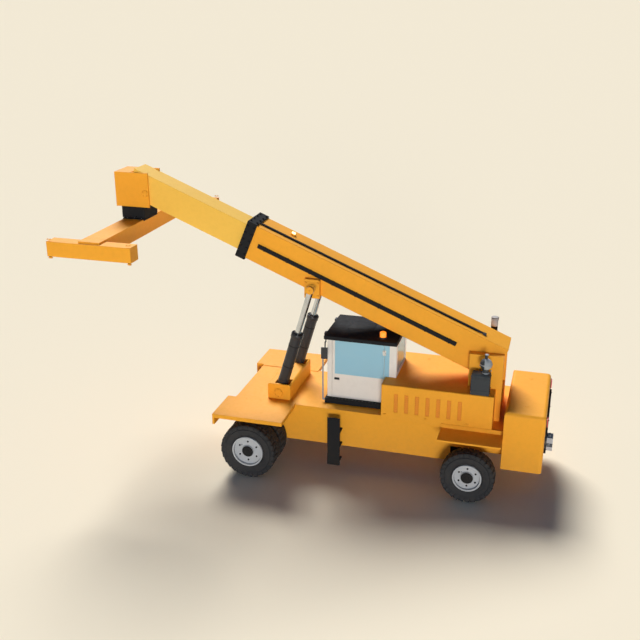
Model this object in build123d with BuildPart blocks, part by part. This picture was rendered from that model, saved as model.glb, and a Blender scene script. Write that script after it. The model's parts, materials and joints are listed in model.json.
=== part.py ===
from build123d import *
import os
from math import cos, radians, sin, tan

# Reach stacker: a container handler with a telescopic boom over a central cab.
# Millimetres.  +X forward, +Y to the driver's left, +Z up, ground at z = 0.
# The origin is on the ground, midway between the hitch and the spreader's front.

os.makedirs("parts", exist_ok=True)

# ---------------------------------------------------------------- fits
HINGE_GAP = 0.3          # radial clearance of a pin or shaft in its bore
SLIDE_GAP = 0.5          # clearance of a sliding face on its bearing face
FREE_GAP = 10.0          # clearance between pieces that pass each other

# ---------------------------------------------------------------- boom
BOOM_ANGLE = 22.4        # degrees above level as parked
PIVOT_AHEAD = -180.0     # boom pivot, ahead of the rear axle
PIVOT_Z = 3300.0
PIVOT_R = 110.0
OUTER_HALF_W = 460.0
OUTER_LOW = -349.0       # outer boom's underside, square to the boom, from the pivot
OUTER_HIGH = 636.0
OUTER_REAR = -315.0      # its rear end, along the boom from the pivot
OUTER_WALL = 28.0
COLLAR_REAR = 7097.0
COLLAR_FRONT = 7379.0
COLLAR_PROUD = 38.0      # how far the collar stands out of the outer boom
COLLAR_UNDER = 53.0      # and below it
COLLAR_LIP = 10.0        # thickness of its front lip, over the boom's end
INNER_HALF_W = 340.0
INNER_LOW = -260.0
INNER_HIGH = 510.0
INNER_REAR = 2650.0
INNER_FRONT = 10927.0
INNER_WALL = 24.0

# ---------------------------------------------------------------- head, as parked (level)
NOSE_S = 10872.0         # head centre on the boom's line
NOSE_H = 125.0
HEAD_HALF_L = 500.0
HEAD_HALF_W = 400.0
HEAD_CHEEK = 50.0
HEAD_UP = 271.0          # head's top above its centre
HEAD_DOWN = 689.0
HEAD_PLATE = 60.0
HEAD_SOLE_BACK = 300.0   # rear edge of its bottom plate, behind its centre
HEAD_MOUTH = 25.0        # rear edge of its top plate, ahead of its centre
HEAD_PIN_BACK = 400.0    # head pin behind and below the head's centre
HEAD_PIN_DOWN = 300.0
HEAD_PIN_R = 60.0
SLEW_HALF_L = 345.0
SLEW_HALF_W = 420.0
SLEW_HEIGHT = 311.0
SLEW_ROUND = 30.0
RING_R = 300.0
RING_HEIGHT = 22.0
SHOE_PLATE = 16.0
SHOE_LIP = 20.0
SHOE_DROP = 30.0
SHOE_GAP = 5.0

# ---------------------------------------------------------------- spreader
BEAM_HALF_X = 300.0
BEAM_HALF_Y = 2560.0
BEAM_HEIGHT = 448.0
BEAM_WALL = 24.0
BEAM_WEB = 36.0          # wall between the two sliding beams
SLIDER_WIDTH = 246.0
SLIDER_HEIGHT = 385.0
SLIDER_TAIL = 5050.0     # length of each sliding beam inside the main beam
END_HALF_X = 1195.0
END_WIDTH = 401.0
END_HEIGHT = 397.0
END_DROP = 51.0          # end beam's top below the main beam's top
END_CAP = 335.0          # how far the sliding beam's head reaches over the end beam
END_GAP = 5.0
LOCK_Y = 2926.5          # half the spacing of a 20 ft container's corner holes
LOCK_X = 1129.5
LOCK_R = 27.0
LOCK_SHAFT = 30.0
LOCK_HEAD_L = 102.0
LOCK_HEAD_W = 54.0
LOCK_HEAD_H = 32.0
LOCK_TAPER = 20.0        # degrees

# ---------------------------------------------------------------- chassis
# Lengths along the machine are from the rear axle, unless a note says otherwise.
WHEELBASE = 5900.0
CHASSIS_HALF_W = 1190.0
CHASSIS_LOW = 730.0
DECK_Z = 1800.0
DECK_PLATE = 40.0
DECK_AHEAD = 738.0       # deck's front edge, ahead of the front axle
GIRDER = 200.0
CROSS_MEMBER = 120.0
DECK_SLOT_BEHIND = 200.0 # deck's opening round each lift cylinder, from its trunnion
DECK_SLOT_AHEAD = 300.0
SPINE_HALF_W = 900.0     # narrow frame between the steered wheels
SPINE_FRONT = 850.0
SPINE_LOW = 950.0
WEIGHT_FRONT = -795.0
WEIGHT_REAR = -1840.0
WEIGHT_HALF_W = 1445.0
WEIGHT_LOW = 820.0
WEIGHT_HIGH = 2445.0
WEIGHT_ROUND = 100.0
WEIGHT_TOP_ROUND = 90.0
HITCH_REAR = -2055.0
HITCH_HALF_W = 150.0
HITCH_LOW = 850.0
HITCH_HIGH = 1225.0
HITCH_MOUTH = 110.0
HITCH_MOUTH_Z = 1012.5
HITCH_BACK = 50.0        # solid part behind the mouth
HITCH_PIN_IN = 90.0      # pin's axis from the hitch's rear end
HITCH_PIN_R = 25.0

# ---------------------------------------------------------------- fenders, axles, wheels
FENDER_OUT = 2390.0
FENDER_BEHIND = 1004.0   # behind the front axle
FENDER_AHEAD = 966.0
FENDER_TOP = 1815.0
FENDER_THICK = 110.0
FENDER_LIP = 75.0        # how far it lies on the deck
FENDER_SKIRT = 300.0     # depth of its down-turned front
FENDER_SKIRT_THICK = 60.0
REAR_FENDER_FRONT = 834.0
REAR_FENDER_OUT = 1923.0
REAR_FENDER_TOP = 1685.0
REAR_FENDER_THICK = 50.0
ARCH_PLATE = 30.0        # upright plate over the rear wheel, flush with the chassis side
ARCH_LOW = 1150.0        # its lower edge, over the turned tyre
ARCH_FRONT = 560.0       # its full depth reaches back to here, ahead of the turned tyre
FRONT_TYRE_R = 781.0
FRONT_RIM_R = 435.0
FRONT_TYRE_W = 520.0
FRONT_TYRE_GAP = 85.0
FRONT_WHEEL_OUT = 2350.0
FRONT_SHAFT_R = 120.0
REAR_TYRE_R = 714.0
REAR_RIM_R = 378.0
REAR_TYRE_W = 400.0
REAR_WHEEL_OUT = 2006.0
TYRE_ROUND = 60.0
RIM_WALL = 24.0
RIM_LIP = 18.0           # rolled edge beyond the wall
RIM_SINK = 75.0          # rim disc behind the tyre's outer face
HUB_R = 165.0
HUB_PROUD = 45.0
HUB_BACK = 30.0          # hub behind the rim disc
HUB_WALL = 20.0          # hub's closed outer end
SHAFT_SHORT = 25.0       # shaft's end behind the hub's outer face
SPINDLE_R = 70.0
KINGPIN_Y = 1706.0
KINGPIN_R = 40.0
AXLE_HALF = 170.0
AXLE_FLANGE = 20.0       # front axle tube beyond the chassis side
AXLE_SEAT_HALF_L = 260.0
AXLE_SEAT_H = 130.0
AXLE_SEAT_IN = 10.0
DIFF_R = 330.0
DIFF_HALF_W = 360.0
AXLE_CUT = 400.0         # half the length cleared for the girders
STEER_BEAM_DOWN = 150.0
HANGER_L = 80.0
HANGER_HALF_W = 450.0
HANGER_PLATE = 60.0
STEER_BEAM_HALF_W = 1330.0
STEER_EYE_R = 85.0
STEER_EYE_H = 190.0
LUG_H = 55.0
KNUCKLE_GAP = 5.0
KNUCKLE_PLATE = 40.0

# ---------------------------------------------------------------- bodywork
HOOD_FRONT = 2468.0
HOOD_REAR = -486.0
HOOD_HALF_W = 1210.0
HOOD_TOP = 2726.0
HOOD_SKIRT = 1715.0
HOOD_WALL = 19.5
HOOD_ROUND = 30.0
SKIRT_GAP = 5.0          # hood's skirt ahead of the rear fender
LOUVRE_COUNT = 7
LOUVRE_REAR = 322.0      # rear edge of the last louvre
LOUVRE_PITCH = 283.0
LOUVRE_WIDTH = 100.0
LOUVRE_LOW = 1950.0
LOUVRE_HIGH = 2490.0
LOUVRE_DEPTH = 12.0      # pressed into the hood's wall
ENGINE = (1700.0, 900.0, 700.0)
ENGINE_X = 1150.0
TOWER_REAR = -631.0
TOWER_FRONT = 255.0
TOWER_PLATE = 200.0
TOWER_TOP = 3655.0
TOWER_GAP = 25.0
TOWER_BASE_H = 700.0     # solid base between its plates
PIVOT_PROUD = 12.0
SADDLE_REAR = 5095.0
SADDLE_FRONT = 5750.0
SADDLE_TOP = 2255.0
SADDLE_ROUND = 60.0
SADDLE_SLOT_BEHIND = 305.0   # from the trunnion
SADDLE_SLOT_AHEAD = 278.0
SADDLE_MOUTH_AHEAD = 120.0   # the slot's shorter mouth in its top
SADDLE_COVER = 40.0
SADDLE_HALF_W = 985.0
TRUNNION_X = 5445.0
TRUNNION_Z = 1990.0
TRUNNION_R = 70.0
TRUNNION_LONG = 55.0     # beyond the barrel
TRUNNION_SUNK = 12.0
TRUNNION_SPARE = 5.0

# ---------------------------------------------------------------- lift cylinders
CYL_Y = 750.0
BARREL_R = 155.0
BARREL_WALL = 22.0
BARREL_SIDE_GAP = 20.0
BARREL_GLAND = 120.0
BARREL_UP = 1830.0       # from the trunnion to the barrel's mouth
BARREL_DOWN = 820.0
BARREL_CAP = 60.0
ROD_R = 85.0
PISTON_H = 160.0
PISTON_LOW = 60.0        # piston above the barrel's floor as parked
EYE_S = 5040.0           # rod eye, on the boom's line from the pivot
EYE_H = -185.0
EYE_R = 112.0
EYE_W = 180.0
BRACKET_L = 422.0
BRACKET_H = 528.0
BRACKET_OUT = 610.0
BRACKET_AHEAD = 20.0     # its middle ahead of and below the rod eye
BRACKET_DOWN = 40.0
EYE_PIN_GAP = 7.0
EYE_PIN_LONG = 20.0
EYE_PIN_R = 70.0

# ---------------------------------------------------------------- cab
SLAB_HALF_W = 830.0
SLAB_FRONT = 4143.0
SLAB_THICK = 135.0
SLAB_GAP = 7.0           # between the hood and the slab
CAB_FRONT = 4104.0
CAB_REAR = 2180.0
CAB_HALF_W = 690.0
CAB_WALL = 50.0
ROOF_GAP = 78.0          # under the boom at the roof's rear edge, as parked
ROOF_FRONT = 4168.0
ROOF_REAR = 2150.0
ROOF_HALF_W = 875.0
ROOF_THICK = 105.0
ROOF_CORNER = 40.0
ROOF_ROUND = 20.0
WINDOW_LOW = 2660.0
FRONT_WINDOW_LOW = 2150.0
REAR_WINDOW_LOW = 60.0   # above the hood
FRONT_PILLAR = 90.0
REAR_PILLAR = 80.0
WINDOW_DOWN = 80.0       # windows' upper edge below the roof
SIDE_WINDOW_FRONT = 3880.0
SIDE_WINDOW_REAR = 2390.0
GLASS = 12.0
GLASS_IN = 20.0          # glass behind the outer face
DOOR_REAR = 2520.0       # hinge line of the door
DOOR_STILE = 45.0
QUARTER_POST = 40.0      # between the door and the fixed side window
DOOR_FRONT = 3970.0
DOOR_LOW = 1965.0
DOOR_DOWN = 28.0         # door's upper edge below the roof
DOOR_GAP = 6.0
DOOR_HINGES = (2150.0, 3350.0)
DOOR_HINGE_H = 60.0
DOOR_HINGE_R = 18.0
DOOR_PIN_R = 10.0
SEAT_AHEAD = 2900.0
SEAT_PAD = (520.0, 500.0, 120.0)
SEAT_BACK = (120.0, 480.0, 710.0)
SEAT_PAD_Z = 380.0
SEAT_BACK_Z = 440.0
SEAT_BACK_X = 260.0
SEAT_ROUND = 35.0
SEAT_BOX_HALF = 170.0
CONSOLE_AHEAD = 520.0    # steering column ahead of the seat
CONSOLE = (220.0, 280.0, 700.0)
CONSOLE_BACK = 20.0
COLUMN_LEAN = 30.0       # degrees
COLUMN_R = 32.0
COLUMN_LENGTH = 140.0
COLUMN_X = 60.0
COLUMN_DOWN = 10.0
WHEEL_R = 200.0
WHEEL_THICK = 30.0
WHEEL_BACK = 10.0
WHEEL_Z = 811.0
DOOR_PLATE = 45.0        # hinge plate's length on the shell and on the door

# ---------------------------------------------------------------- fittings
RAIL_H = -497.0          # side rail's centre below the outer boom's top
RAIL_REAR = 950.0
RAIL_FRONT = 6880.0
RAIL_SIZE = 110.0
RAIL_PROUD = 40.0
TOP_RAIL_Y = 215.0
TOP_RAIL_W = 70.0
TOP_RAIL_REAR = 560.0
TOP_RAIL_FRONT = 7085.0
STEP_PLATE_FRONT = 3880.0
STEP_PLATE_REAR = 3530.0
STEP_OUT = 1500.0
STEP_TOP = 1690.0
STEP_LOW = 260.0
STEP_COUNT = 3
STEP_FIRST = 120.0       # lowest tread above the plate's lower edge
STEP_RISE = 430.0
STEP_THICK = 40.0
STEP_PLATE = 25.0
STEP_IN = 60.0           # gap beside a tread that hangs below the chassis
AIR_BOX = (480.0, 330.0, 570.0)
AIR_BOX_REAR = -345.0
AIR_BOX_EDGE = 30.0      # inside the hood's side
AIR_BOX_CHAMFER = 40.0
BALL_AHEAD = 140.0
BALL_UP = 255.0          # its centre above the box
NECK_R = 70.0
PLUG_R = 38.0
PLUG_UP = 120.0
BALL_R = 150.0
STACK_X = -205.0
STACK_Y = -950.0
STACK_R = 92.0
STACK_WALL = 10.0
STACK_FLOOR = 200.0
STACK_TOP = 4120.0
GRILLE_HALF_W = 900.0
GRILLE_LOW = 1150.0
GRILLE_HIGH = 2200.0
GRILLE_THICK = 35.0
GRILLE_GAP = 5.0         # round the tow hitch
MIRROR_WIDTH = 175.0
MIRROR_H = 320.0
MIRROR_DOWN = 460.0      # its lower edge below its arm
MIRROR_REAR = 50.0       # its rear edge behind its arm
MIRROR_EDGE = 10.0       # how far it stands either side of its arm
ARM = 30.0
ARM_BACK = 70.0          # behind the roof's front edge
ARM_DOWN = 90.0
BEACON_X = 2590.0
BEACON_Y = 590.0
BEACON_R = 85.0
BEACON_H = 175.0
BEACON_ROUND = 35.0
RAIL_TUBE_R = 22.0
GRAB_AHEAD = 60.0        # grab rail ahead of the slab
GRAB_IN = 30.0
GRAB_LOW = 70.0          # above the deck
GRAB_LENGTH = 1450.0
GRAB_TOP_BRACKET = 1480.0
GRAB_BRACKET = 40.0
GRAB_LAP = 44.0

# ---------------------------------------------------------------- places worked out
TILT = radians(BOOM_ANGLE)


def along(s, h):
    """Machine x and z, from the boom pivot, of a point on the boom's own axes."""
    return s * cos(TILT) - h * sin(TILT), s * sin(TILT) + h * cos(TILT)


NOSE_DX, NOSE_DZ = along(NOSE_S, NOSE_H)
FRONT_REACH = PIVOT_AHEAD + NOSE_DX + END_HALF_X
AXLE_X = -(FRONT_REACH + HITCH_REAR) / 2     # rear axle, so that x = 0 is mid-length
PIVOT_X = AXLE_X + PIVOT_AHEAD
NOSE_X = PIVOT_X + NOSE_DX
NOSE_Z = PIVOT_Z + NOSE_DZ
FRONT_AXLE_X = AXLE_X + WHEELBASE
SLEW_TOP = NOSE_Z - HEAD_DOWN
SLEW_LOW = SLEW_TOP - SLEW_HEIGHT
BEAM_TOP = SLEW_LOW - HINGE_GAP - RING_HEIGHT - SHOE_PLATE - SLIDE_GAP
BEAM_LOW = BEAM_TOP - BEAM_HEIGHT
END_TOP = BEAM_TOP - END_DROP
END_LOW = END_TOP - END_HEIGHT
EYE_DX, EYE_DZ = along(EYE_S, EYE_H)
EYE_X = PIVOT_X + EYE_DX
EYE_Z = PIVOT_Z + EYE_DZ
FOOT_X = AXLE_X + TRUNNION_X
CAB_TOP = (
    PIVOT_Z + (ROOF_REAR - PIVOT_AHEAD) * tan(TILT) + OUTER_LOW / cos(TILT) - ROOF_GAP - ROOF_THICK
)
WINDOW_HIGH = CAB_TOP - WINDOW_DOWN
DOOR_HIGH = CAB_TOP - DOOR_DOWN
CYL_LENGTH = ((EYE_X - FOOT_X) ** 2 + (EYE_Z - TRUNNION_Z) ** 2) ** 0.5
BOOM_SIDE = Plane(origin=(PIVOT_X, 0, PIVOT_Z), x_dir=(cos(TILT), 0, sin(TILT)), z_dir=(0, -1, 0))
BOOM_TOP = Plane(
    origin=(PIVOT_X - OUTER_HIGH * sin(TILT), 0, PIVOT_Z + OUTER_HIGH * cos(TILT)),
    x_dir=(cos(TILT), 0, sin(TILT)),
    z_dir=(-sin(TILT), 0, cos(TILT)),
)
SIDES = (("left", 1), ("right", -1))


def block(x, y, z, mode=Mode.ADD):
    """A box between the low and high x, y and z, in the open part."""
    with BuildSketch(Plane.XY.offset(z[0])) as plan:
        with Locations(((x[0] + x[1]) / 2, (y[0] + y[1]) / 2)):
            Rectangle(x[1] - x[0], y[1] - y[0])
    extrude(plan.sketch, amount=z[1] - z[0], mode=mode)


def boom_block(s, h, half_w, mode=Mode.ADD):
    """A box square to the boom, centred on the machine's middle plane."""
    with BuildSketch(BOOM_SIDE) as elevation:
        with Locations(((s[0] + s[1]) / 2, (h[0] + h[1]) / 2)):
            Rectangle(s[1] - s[0], h[1] - h[0])
    extrude(elevation.sketch, amount=half_w, both=True, mode=mode)


def cross_bar(x, z, radius, half_w, mode=Mode.ADD):
    """A round bar or bore across the machine."""
    with BuildSketch(Plane.XZ) as circle:
        with Locations((x, z)):
            Circle(radius)
    extrude(circle.sketch, amount=half_w, both=True, mode=mode)


def side_disc(x, z, radius, y, mode=Mode.ADD):
    """A disc or bore across the machine, between two y values."""
    with BuildSketch(Plane.XZ.offset(-y[1])) as circle:
        with Locations((x, z)):
            Circle(radius)
    extrude(circle.sketch, amount=y[1] - y[0], mode=mode)


def post(x, y, radius, z, mode=Mode.ADD):
    """An upright round post or bore between two heights."""
    with BuildSketch(Plane.XY.offset(z[0])) as circle:
        with Locations((x, y)):
            Circle(radius)
    extrude(circle.sketch, amount=z[1] - z[0], mode=mode)


def mirrored(y, side):
    """A y range on the left, or its mirror image on the right."""
    return y if side > 0 else (-y[1], -y[0])


# ================================================================ chassis
FRAME_REAR = AXLE_X + WEIGHT_FRONT
FRAME_FRONT = FRONT_AXLE_X + DECK_AHEAD
with BuildPart() as chassis_frame:
    block((FRAME_REAR, FRAME_FRONT), (-CHASSIS_HALF_W, CHASSIS_HALF_W), (DECK_Z - DECK_PLATE, DECK_Z))
    for name, side in SIDES:
        block(
            (AXLE_X + SPINE_FRONT, FRAME_FRONT),
            mirrored((CHASSIS_HALF_W - GIRDER, CHASSIS_HALF_W), side),
            (CHASSIS_LOW, DECK_Z),
        )
        block(
            (FRAME_REAR, AXLE_X + SPINE_FRONT + GIRDER),
            mirrored((SPINE_HALF_W - GIRDER, SPINE_HALF_W), side),
            (SPINE_LOW, DECK_Z),
        )
    for x0, length, half_w, low in (
        (FRAME_REAR, CROSS_MEMBER, SPINE_HALF_W, SPINE_LOW),
        (AXLE_X + SPINE_FRONT, GIRDER, CHASSIS_HALF_W, CHASSIS_LOW),
        (FRAME_FRONT - CROSS_MEMBER, CROSS_MEMBER, CHASSIS_HALF_W, CHASSIS_LOW),
    ):
        block((x0, x0 + length), (-half_w, half_w), (low, DECK_Z))
    for name, side in SIDES:
        block(
            (FRAME_REAR, AXLE_X + SPINE_FRONT + 1),
            mirrored((CHASSIS_HALF_W - ARCH_PLATE, CHASSIS_HALF_W), side),
            (ARCH_LOW, DECK_Z),
        )
        block(
            (AXLE_X + ARCH_FRONT, AXLE_X + SPINE_FRONT + 1),
            mirrored((CHASSIS_HALF_W - ARCH_PLATE, CHASSIS_HALF_W), side),
            (CHASSIS_LOW, ARCH_LOW + 1),
        )
    for name, side in SIDES:
        block(
            (FOOT_X - DECK_SLOT_BEHIND, FOOT_X + DECK_SLOT_AHEAD),
            mirrored((CYL_Y - BARREL_R - BARREL_SIDE_GAP, CYL_Y + BARREL_R + BARREL_SIDE_GAP), side),
            (DECK_Z - DECK_PLATE, DECK_Z),
            Mode.SUBTRACT,
        )

with BuildPart() as front_axle:
    cross_bar(FRONT_AXLE_X, FRONT_TYRE_R, AXLE_HALF, CHASSIS_HALF_W + AXLE_FLANGE)
    block(
        (FRONT_AXLE_X - AXLE_SEAT_HALF_L, FRONT_AXLE_X + AXLE_SEAT_HALF_L),
        (-CHASSIS_HALF_W + AXLE_SEAT_IN, CHASSIS_HALF_W - AXLE_SEAT_IN),
        (CHASSIS_LOW - AXLE_SEAT_H, CHASSIS_LOW),
    )
    cross_bar(FRONT_AXLE_X, FRONT_TYRE_R, DIFF_R, DIFF_HALF_W)
    for name, side in SIDES:
        side_disc(
            FRONT_AXLE_X, FRONT_TYRE_R, FRONT_SHAFT_R,
            mirrored((CHASSIS_HALF_W - 1, FRONT_WHEEL_OUT - RIM_SINK + HUB_PROUD - SHAFT_SHORT), side),
        )
    for name, side in SIDES:
        block(
            (FRONT_AXLE_X - AXLE_CUT, FRONT_AXLE_X + AXLE_CUT),
            mirrored((CHASSIS_HALF_W - GIRDER - SLIDE_GAP, CHASSIS_HALF_W + SLIDE_GAP), side),
            (CHASSIS_LOW, DECK_Z),
            Mode.SUBTRACT,
        )

STEER_BEAM_TOP = REAR_TYRE_R + STEER_EYE_H / 2
STEER_BEAM_LOW = REAR_TYRE_R - STEER_EYE_H / 2
with BuildPart() as rear_axle:
    block(
        (AXLE_X - AXLE_HALF, AXLE_X + AXLE_HALF),
        (-STEER_BEAM_HALF_W, STEER_BEAM_HALF_W),
        (REAR_TYRE_R - STEER_BEAM_DOWN, STEER_BEAM_TOP),
    )
    for name, side in SIDES:
        block(
            (AXLE_X - STEER_EYE_R, AXLE_X + STEER_EYE_R),
            mirrored((STEER_BEAM_HALF_W - 1, KINGPIN_Y), side),
            (STEER_BEAM_LOW, STEER_BEAM_TOP),
        )
    for name, side in SIDES:
        post(AXLE_X, side * KINGPIN_Y, STEER_EYE_R, (STEER_BEAM_LOW, STEER_BEAM_TOP))
        post(AXLE_X, side * KINGPIN_Y, KINGPIN_R + HINGE_GAP, (STEER_BEAM_LOW, STEER_BEAM_TOP), Mode.SUBTRACT)
    for x0 in (AXLE_X - AXLE_HALF - HANGER_L, AXLE_X + AXLE_HALF):
        block((x0, x0 + HANGER_L), (-HANGER_HALF_W, HANGER_HALF_W), (REAR_TYRE_R - HANGER_PLATE, SPINE_LOW))
        block((x0, x0 + HANGER_L), (-SPINE_HALF_W, SPINE_HALF_W), (SPINE_LOW - HANGER_PLATE, SPINE_LOW))

KNUCKLE_TOP = STEER_BEAM_TOP + SLIDE_GAP
KNUCKLE_LOW = STEER_BEAM_LOW - SLIDE_GAP
KNUCKLE_FACE = KINGPIN_Y + STEER_EYE_R + KNUCKLE_GAP
knuckles = {}
for name, side in SIDES:
    with BuildPart() as knuckle:
        for z in ((KNUCKLE_TOP, KNUCKLE_TOP + LUG_H), (KNUCKLE_LOW - LUG_H, KNUCKLE_LOW)):
            post(AXLE_X, side * KINGPIN_Y, STEER_EYE_R, z)
            block(
                (AXLE_X - STEER_EYE_R, AXLE_X + STEER_EYE_R),
                mirrored((KINGPIN_Y, KNUCKLE_FACE + KNUCKLE_PLATE), side), z,
            )
        post(AXLE_X, side * KINGPIN_Y, KINGPIN_R, (KNUCKLE_LOW - LUG_H, KNUCKLE_TOP + LUG_H))
        block(
            (AXLE_X - STEER_EYE_R, AXLE_X + STEER_EYE_R),
            mirrored((KNUCKLE_FACE, KNUCKLE_FACE + KNUCKLE_PLATE), side),
            (KNUCKLE_LOW - LUG_H, KNUCKLE_TOP + LUG_H),
        )
        side_disc(
            AXLE_X, REAR_TYRE_R, SPINDLE_R,
            mirrored((KNUCKLE_FACE + 1, REAR_WHEEL_OUT - RIM_SINK + HUB_PROUD - SHAFT_SHORT), side),
        )
    knuckle.part.label = "knuckle_" + name
    knuckles[name] = knuckle.part


# ---------------------------------------------------------------- wheels
def tyre_ring(x, wheel_r, bore_r, y):
    """A tyre with rounded shoulders, between two y values."""
    side_disc(x, wheel_r, wheel_r, y)
    tyre_edges = edges().filter_by(GeomType.CIRCLE)
    shoulders = [e for e in tyre_edges if abs(e.radius - wheel_r) < 1 and y[0] - 1 < e.center().Y < y[1] + 1]
    fillet(shoulders, TYRE_ROUND)
    side_disc(x, wheel_r, bore_r, y, Mode.SUBTRACT)


def rim_barrel(x, z, rim_r, y, side, bore_r):
    """A wheel rim: barrel, disc near the outer face and hub, bored for its shaft."""
    side_disc(x, z, rim_r, y)
    outer = y[1] if side > 0 else y[0]
    sunk = outer - side * RIM_SINK
    inner = y[0] if side > 0 else y[1]
    pocket = sorted((inner, sunk - side * RIM_WALL))
    side_disc(x, z, rim_r - RIM_WALL, pocket, Mode.SUBTRACT)
    side_disc(x, z, rim_r - RIM_WALL - RIM_LIP, sorted((sunk, outer)), Mode.SUBTRACT)
    side_disc(x, z, HUB_R, sorted((sunk - side * (RIM_WALL + HUB_BACK), sunk + side * HUB_PROUD)))
    bore = sorted((inner, sunk + side * (HUB_PROUD - HUB_WALL)))
    side_disc(x, z, bore_r, bore, Mode.SUBTRACT)


wheels = {}
WHEEL_SETS = (
    # wheel, axle x, tyre radius, rim radius, outer face, tyre width, tyres, gap, shaft radius
    (
        "front", FRONT_AXLE_X, FRONT_TYRE_R, FRONT_RIM_R, FRONT_WHEEL_OUT,
        FRONT_TYRE_W, 2, FRONT_TYRE_GAP, FRONT_SHAFT_R,
    ),
    ("rear", AXLE_X, REAR_TYRE_R, REAR_RIM_R, REAR_WHEEL_OUT, REAR_TYRE_W, 1, 0.0, SPINDLE_R),
)
for end, x, tyre_r, rim_r, out, width, count, gap, shaft_r in WHEEL_SETS:
    for name, side in SIDES:
        with BuildPart() as tyre:
            for i in range(count):
                far = out - i * (width + gap)
                tyre_ring(x, tyre_r, rim_r, mirrored((far - width, far), side))
        tyre.part.label = end + "_tyre_" + name
        wheels[tyre.part.label] = tyre.part
        with BuildPart() as rim:
            span = count * width + (count - 1) * gap
            rim_barrel(x, tyre_r, rim_r, mirrored((out - span, out), side), side, shaft_r + HINGE_GAP)
        rim.part.label = end + "_rim_" + name
        wheels[rim.part.label] = rim.part


# ---------------------------------------------------------------- fenders and counterweight
with BuildPart() as fenders:
    for name, side in SIDES:
        block(
            (FRONT_AXLE_X - FENDER_BEHIND, FRONT_AXLE_X + FENDER_AHEAD),
            mirrored((CHASSIS_HALF_W, FENDER_OUT), side),
            (FENDER_TOP - FENDER_THICK, FENDER_TOP),
        )
        block(
            (FRONT_AXLE_X - FENDER_BEHIND, FRAME_FRONT),
            mirrored((CHASSIS_HALF_W - FENDER_LIP, CHASSIS_HALF_W + 1), side),
            (DECK_Z, FENDER_TOP),
        )
        block(
            (FRONT_AXLE_X + FENDER_AHEAD - FENDER_SKIRT_THICK, FRONT_AXLE_X + FENDER_AHEAD),
            mirrored((CHASSIS_HALF_W, FENDER_OUT), side),
            (FENDER_TOP - FENDER_SKIRT, FENDER_TOP),
        )
        block(
            (FRAME_REAR, AXLE_X + REAR_FENDER_FRONT),
            mirrored((CHASSIS_HALF_W, REAR_FENDER_OUT), side),
            (REAR_FENDER_TOP - REAR_FENDER_THICK, REAR_FENDER_TOP),
        )
        block(
            (FRAME_REAR, AXLE_X + REAR_FENDER_FRONT),
            mirrored((CHASSIS_HALF_W, CHASSIS_HALF_W + ARCH_PLATE), side),
            (REAR_FENDER_TOP - 1, DECK_Z),
        )

with BuildPart() as counterweight:
    block(
        (AXLE_X + WEIGHT_REAR, FRAME_REAR),
        (-WEIGHT_HALF_W, WEIGHT_HALF_W),
        (WEIGHT_LOW, WEIGHT_HIGH),
    )
    fillet(edges().filter_by(Axis.Z).group_by(Axis.X)[0], WEIGHT_ROUND)
    fillet(faces().sort_by(Axis.Z)[-1].edges(), WEIGHT_TOP_ROUND)

with BuildPart() as rear_grille:
    block(
        (AXLE_X + WEIGHT_REAR - GRILLE_THICK, AXLE_X + WEIGHT_REAR),
        (-GRILLE_HALF_W, GRILLE_HALF_W),
        (GRILLE_LOW, GRILLE_HIGH),
    )
    block(
        (AXLE_X + WEIGHT_REAR - GRILLE_THICK, AXLE_X + WEIGHT_REAR),
        (-HITCH_HALF_W - GRILLE_GAP, HITCH_HALF_W + GRILLE_GAP),
        (GRILLE_LOW, HITCH_HIGH + GRILLE_GAP),
        Mode.SUBTRACT,
    )

with BuildPart() as tow_hitch:
    block(
        (AXLE_X + HITCH_REAR, AXLE_X + WEIGHT_REAR),
        (-HITCH_HALF_W, HITCH_HALF_W),
        (HITCH_LOW, HITCH_HIGH),
    )
    block(
        (AXLE_X + HITCH_REAR, AXLE_X + WEIGHT_REAR - HITCH_BACK),
        (-HITCH_HALF_W, HITCH_HALF_W),
        (HITCH_MOUTH_Z - HITCH_MOUTH / 2, HITCH_MOUTH_Z + HITCH_MOUTH / 2),
        Mode.SUBTRACT,
    )
    post(AXLE_X + HITCH_REAR + HITCH_PIN_IN, 0, HITCH_PIN_R, (HITCH_LOW, HITCH_HIGH), Mode.SUBTRACT)


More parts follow.
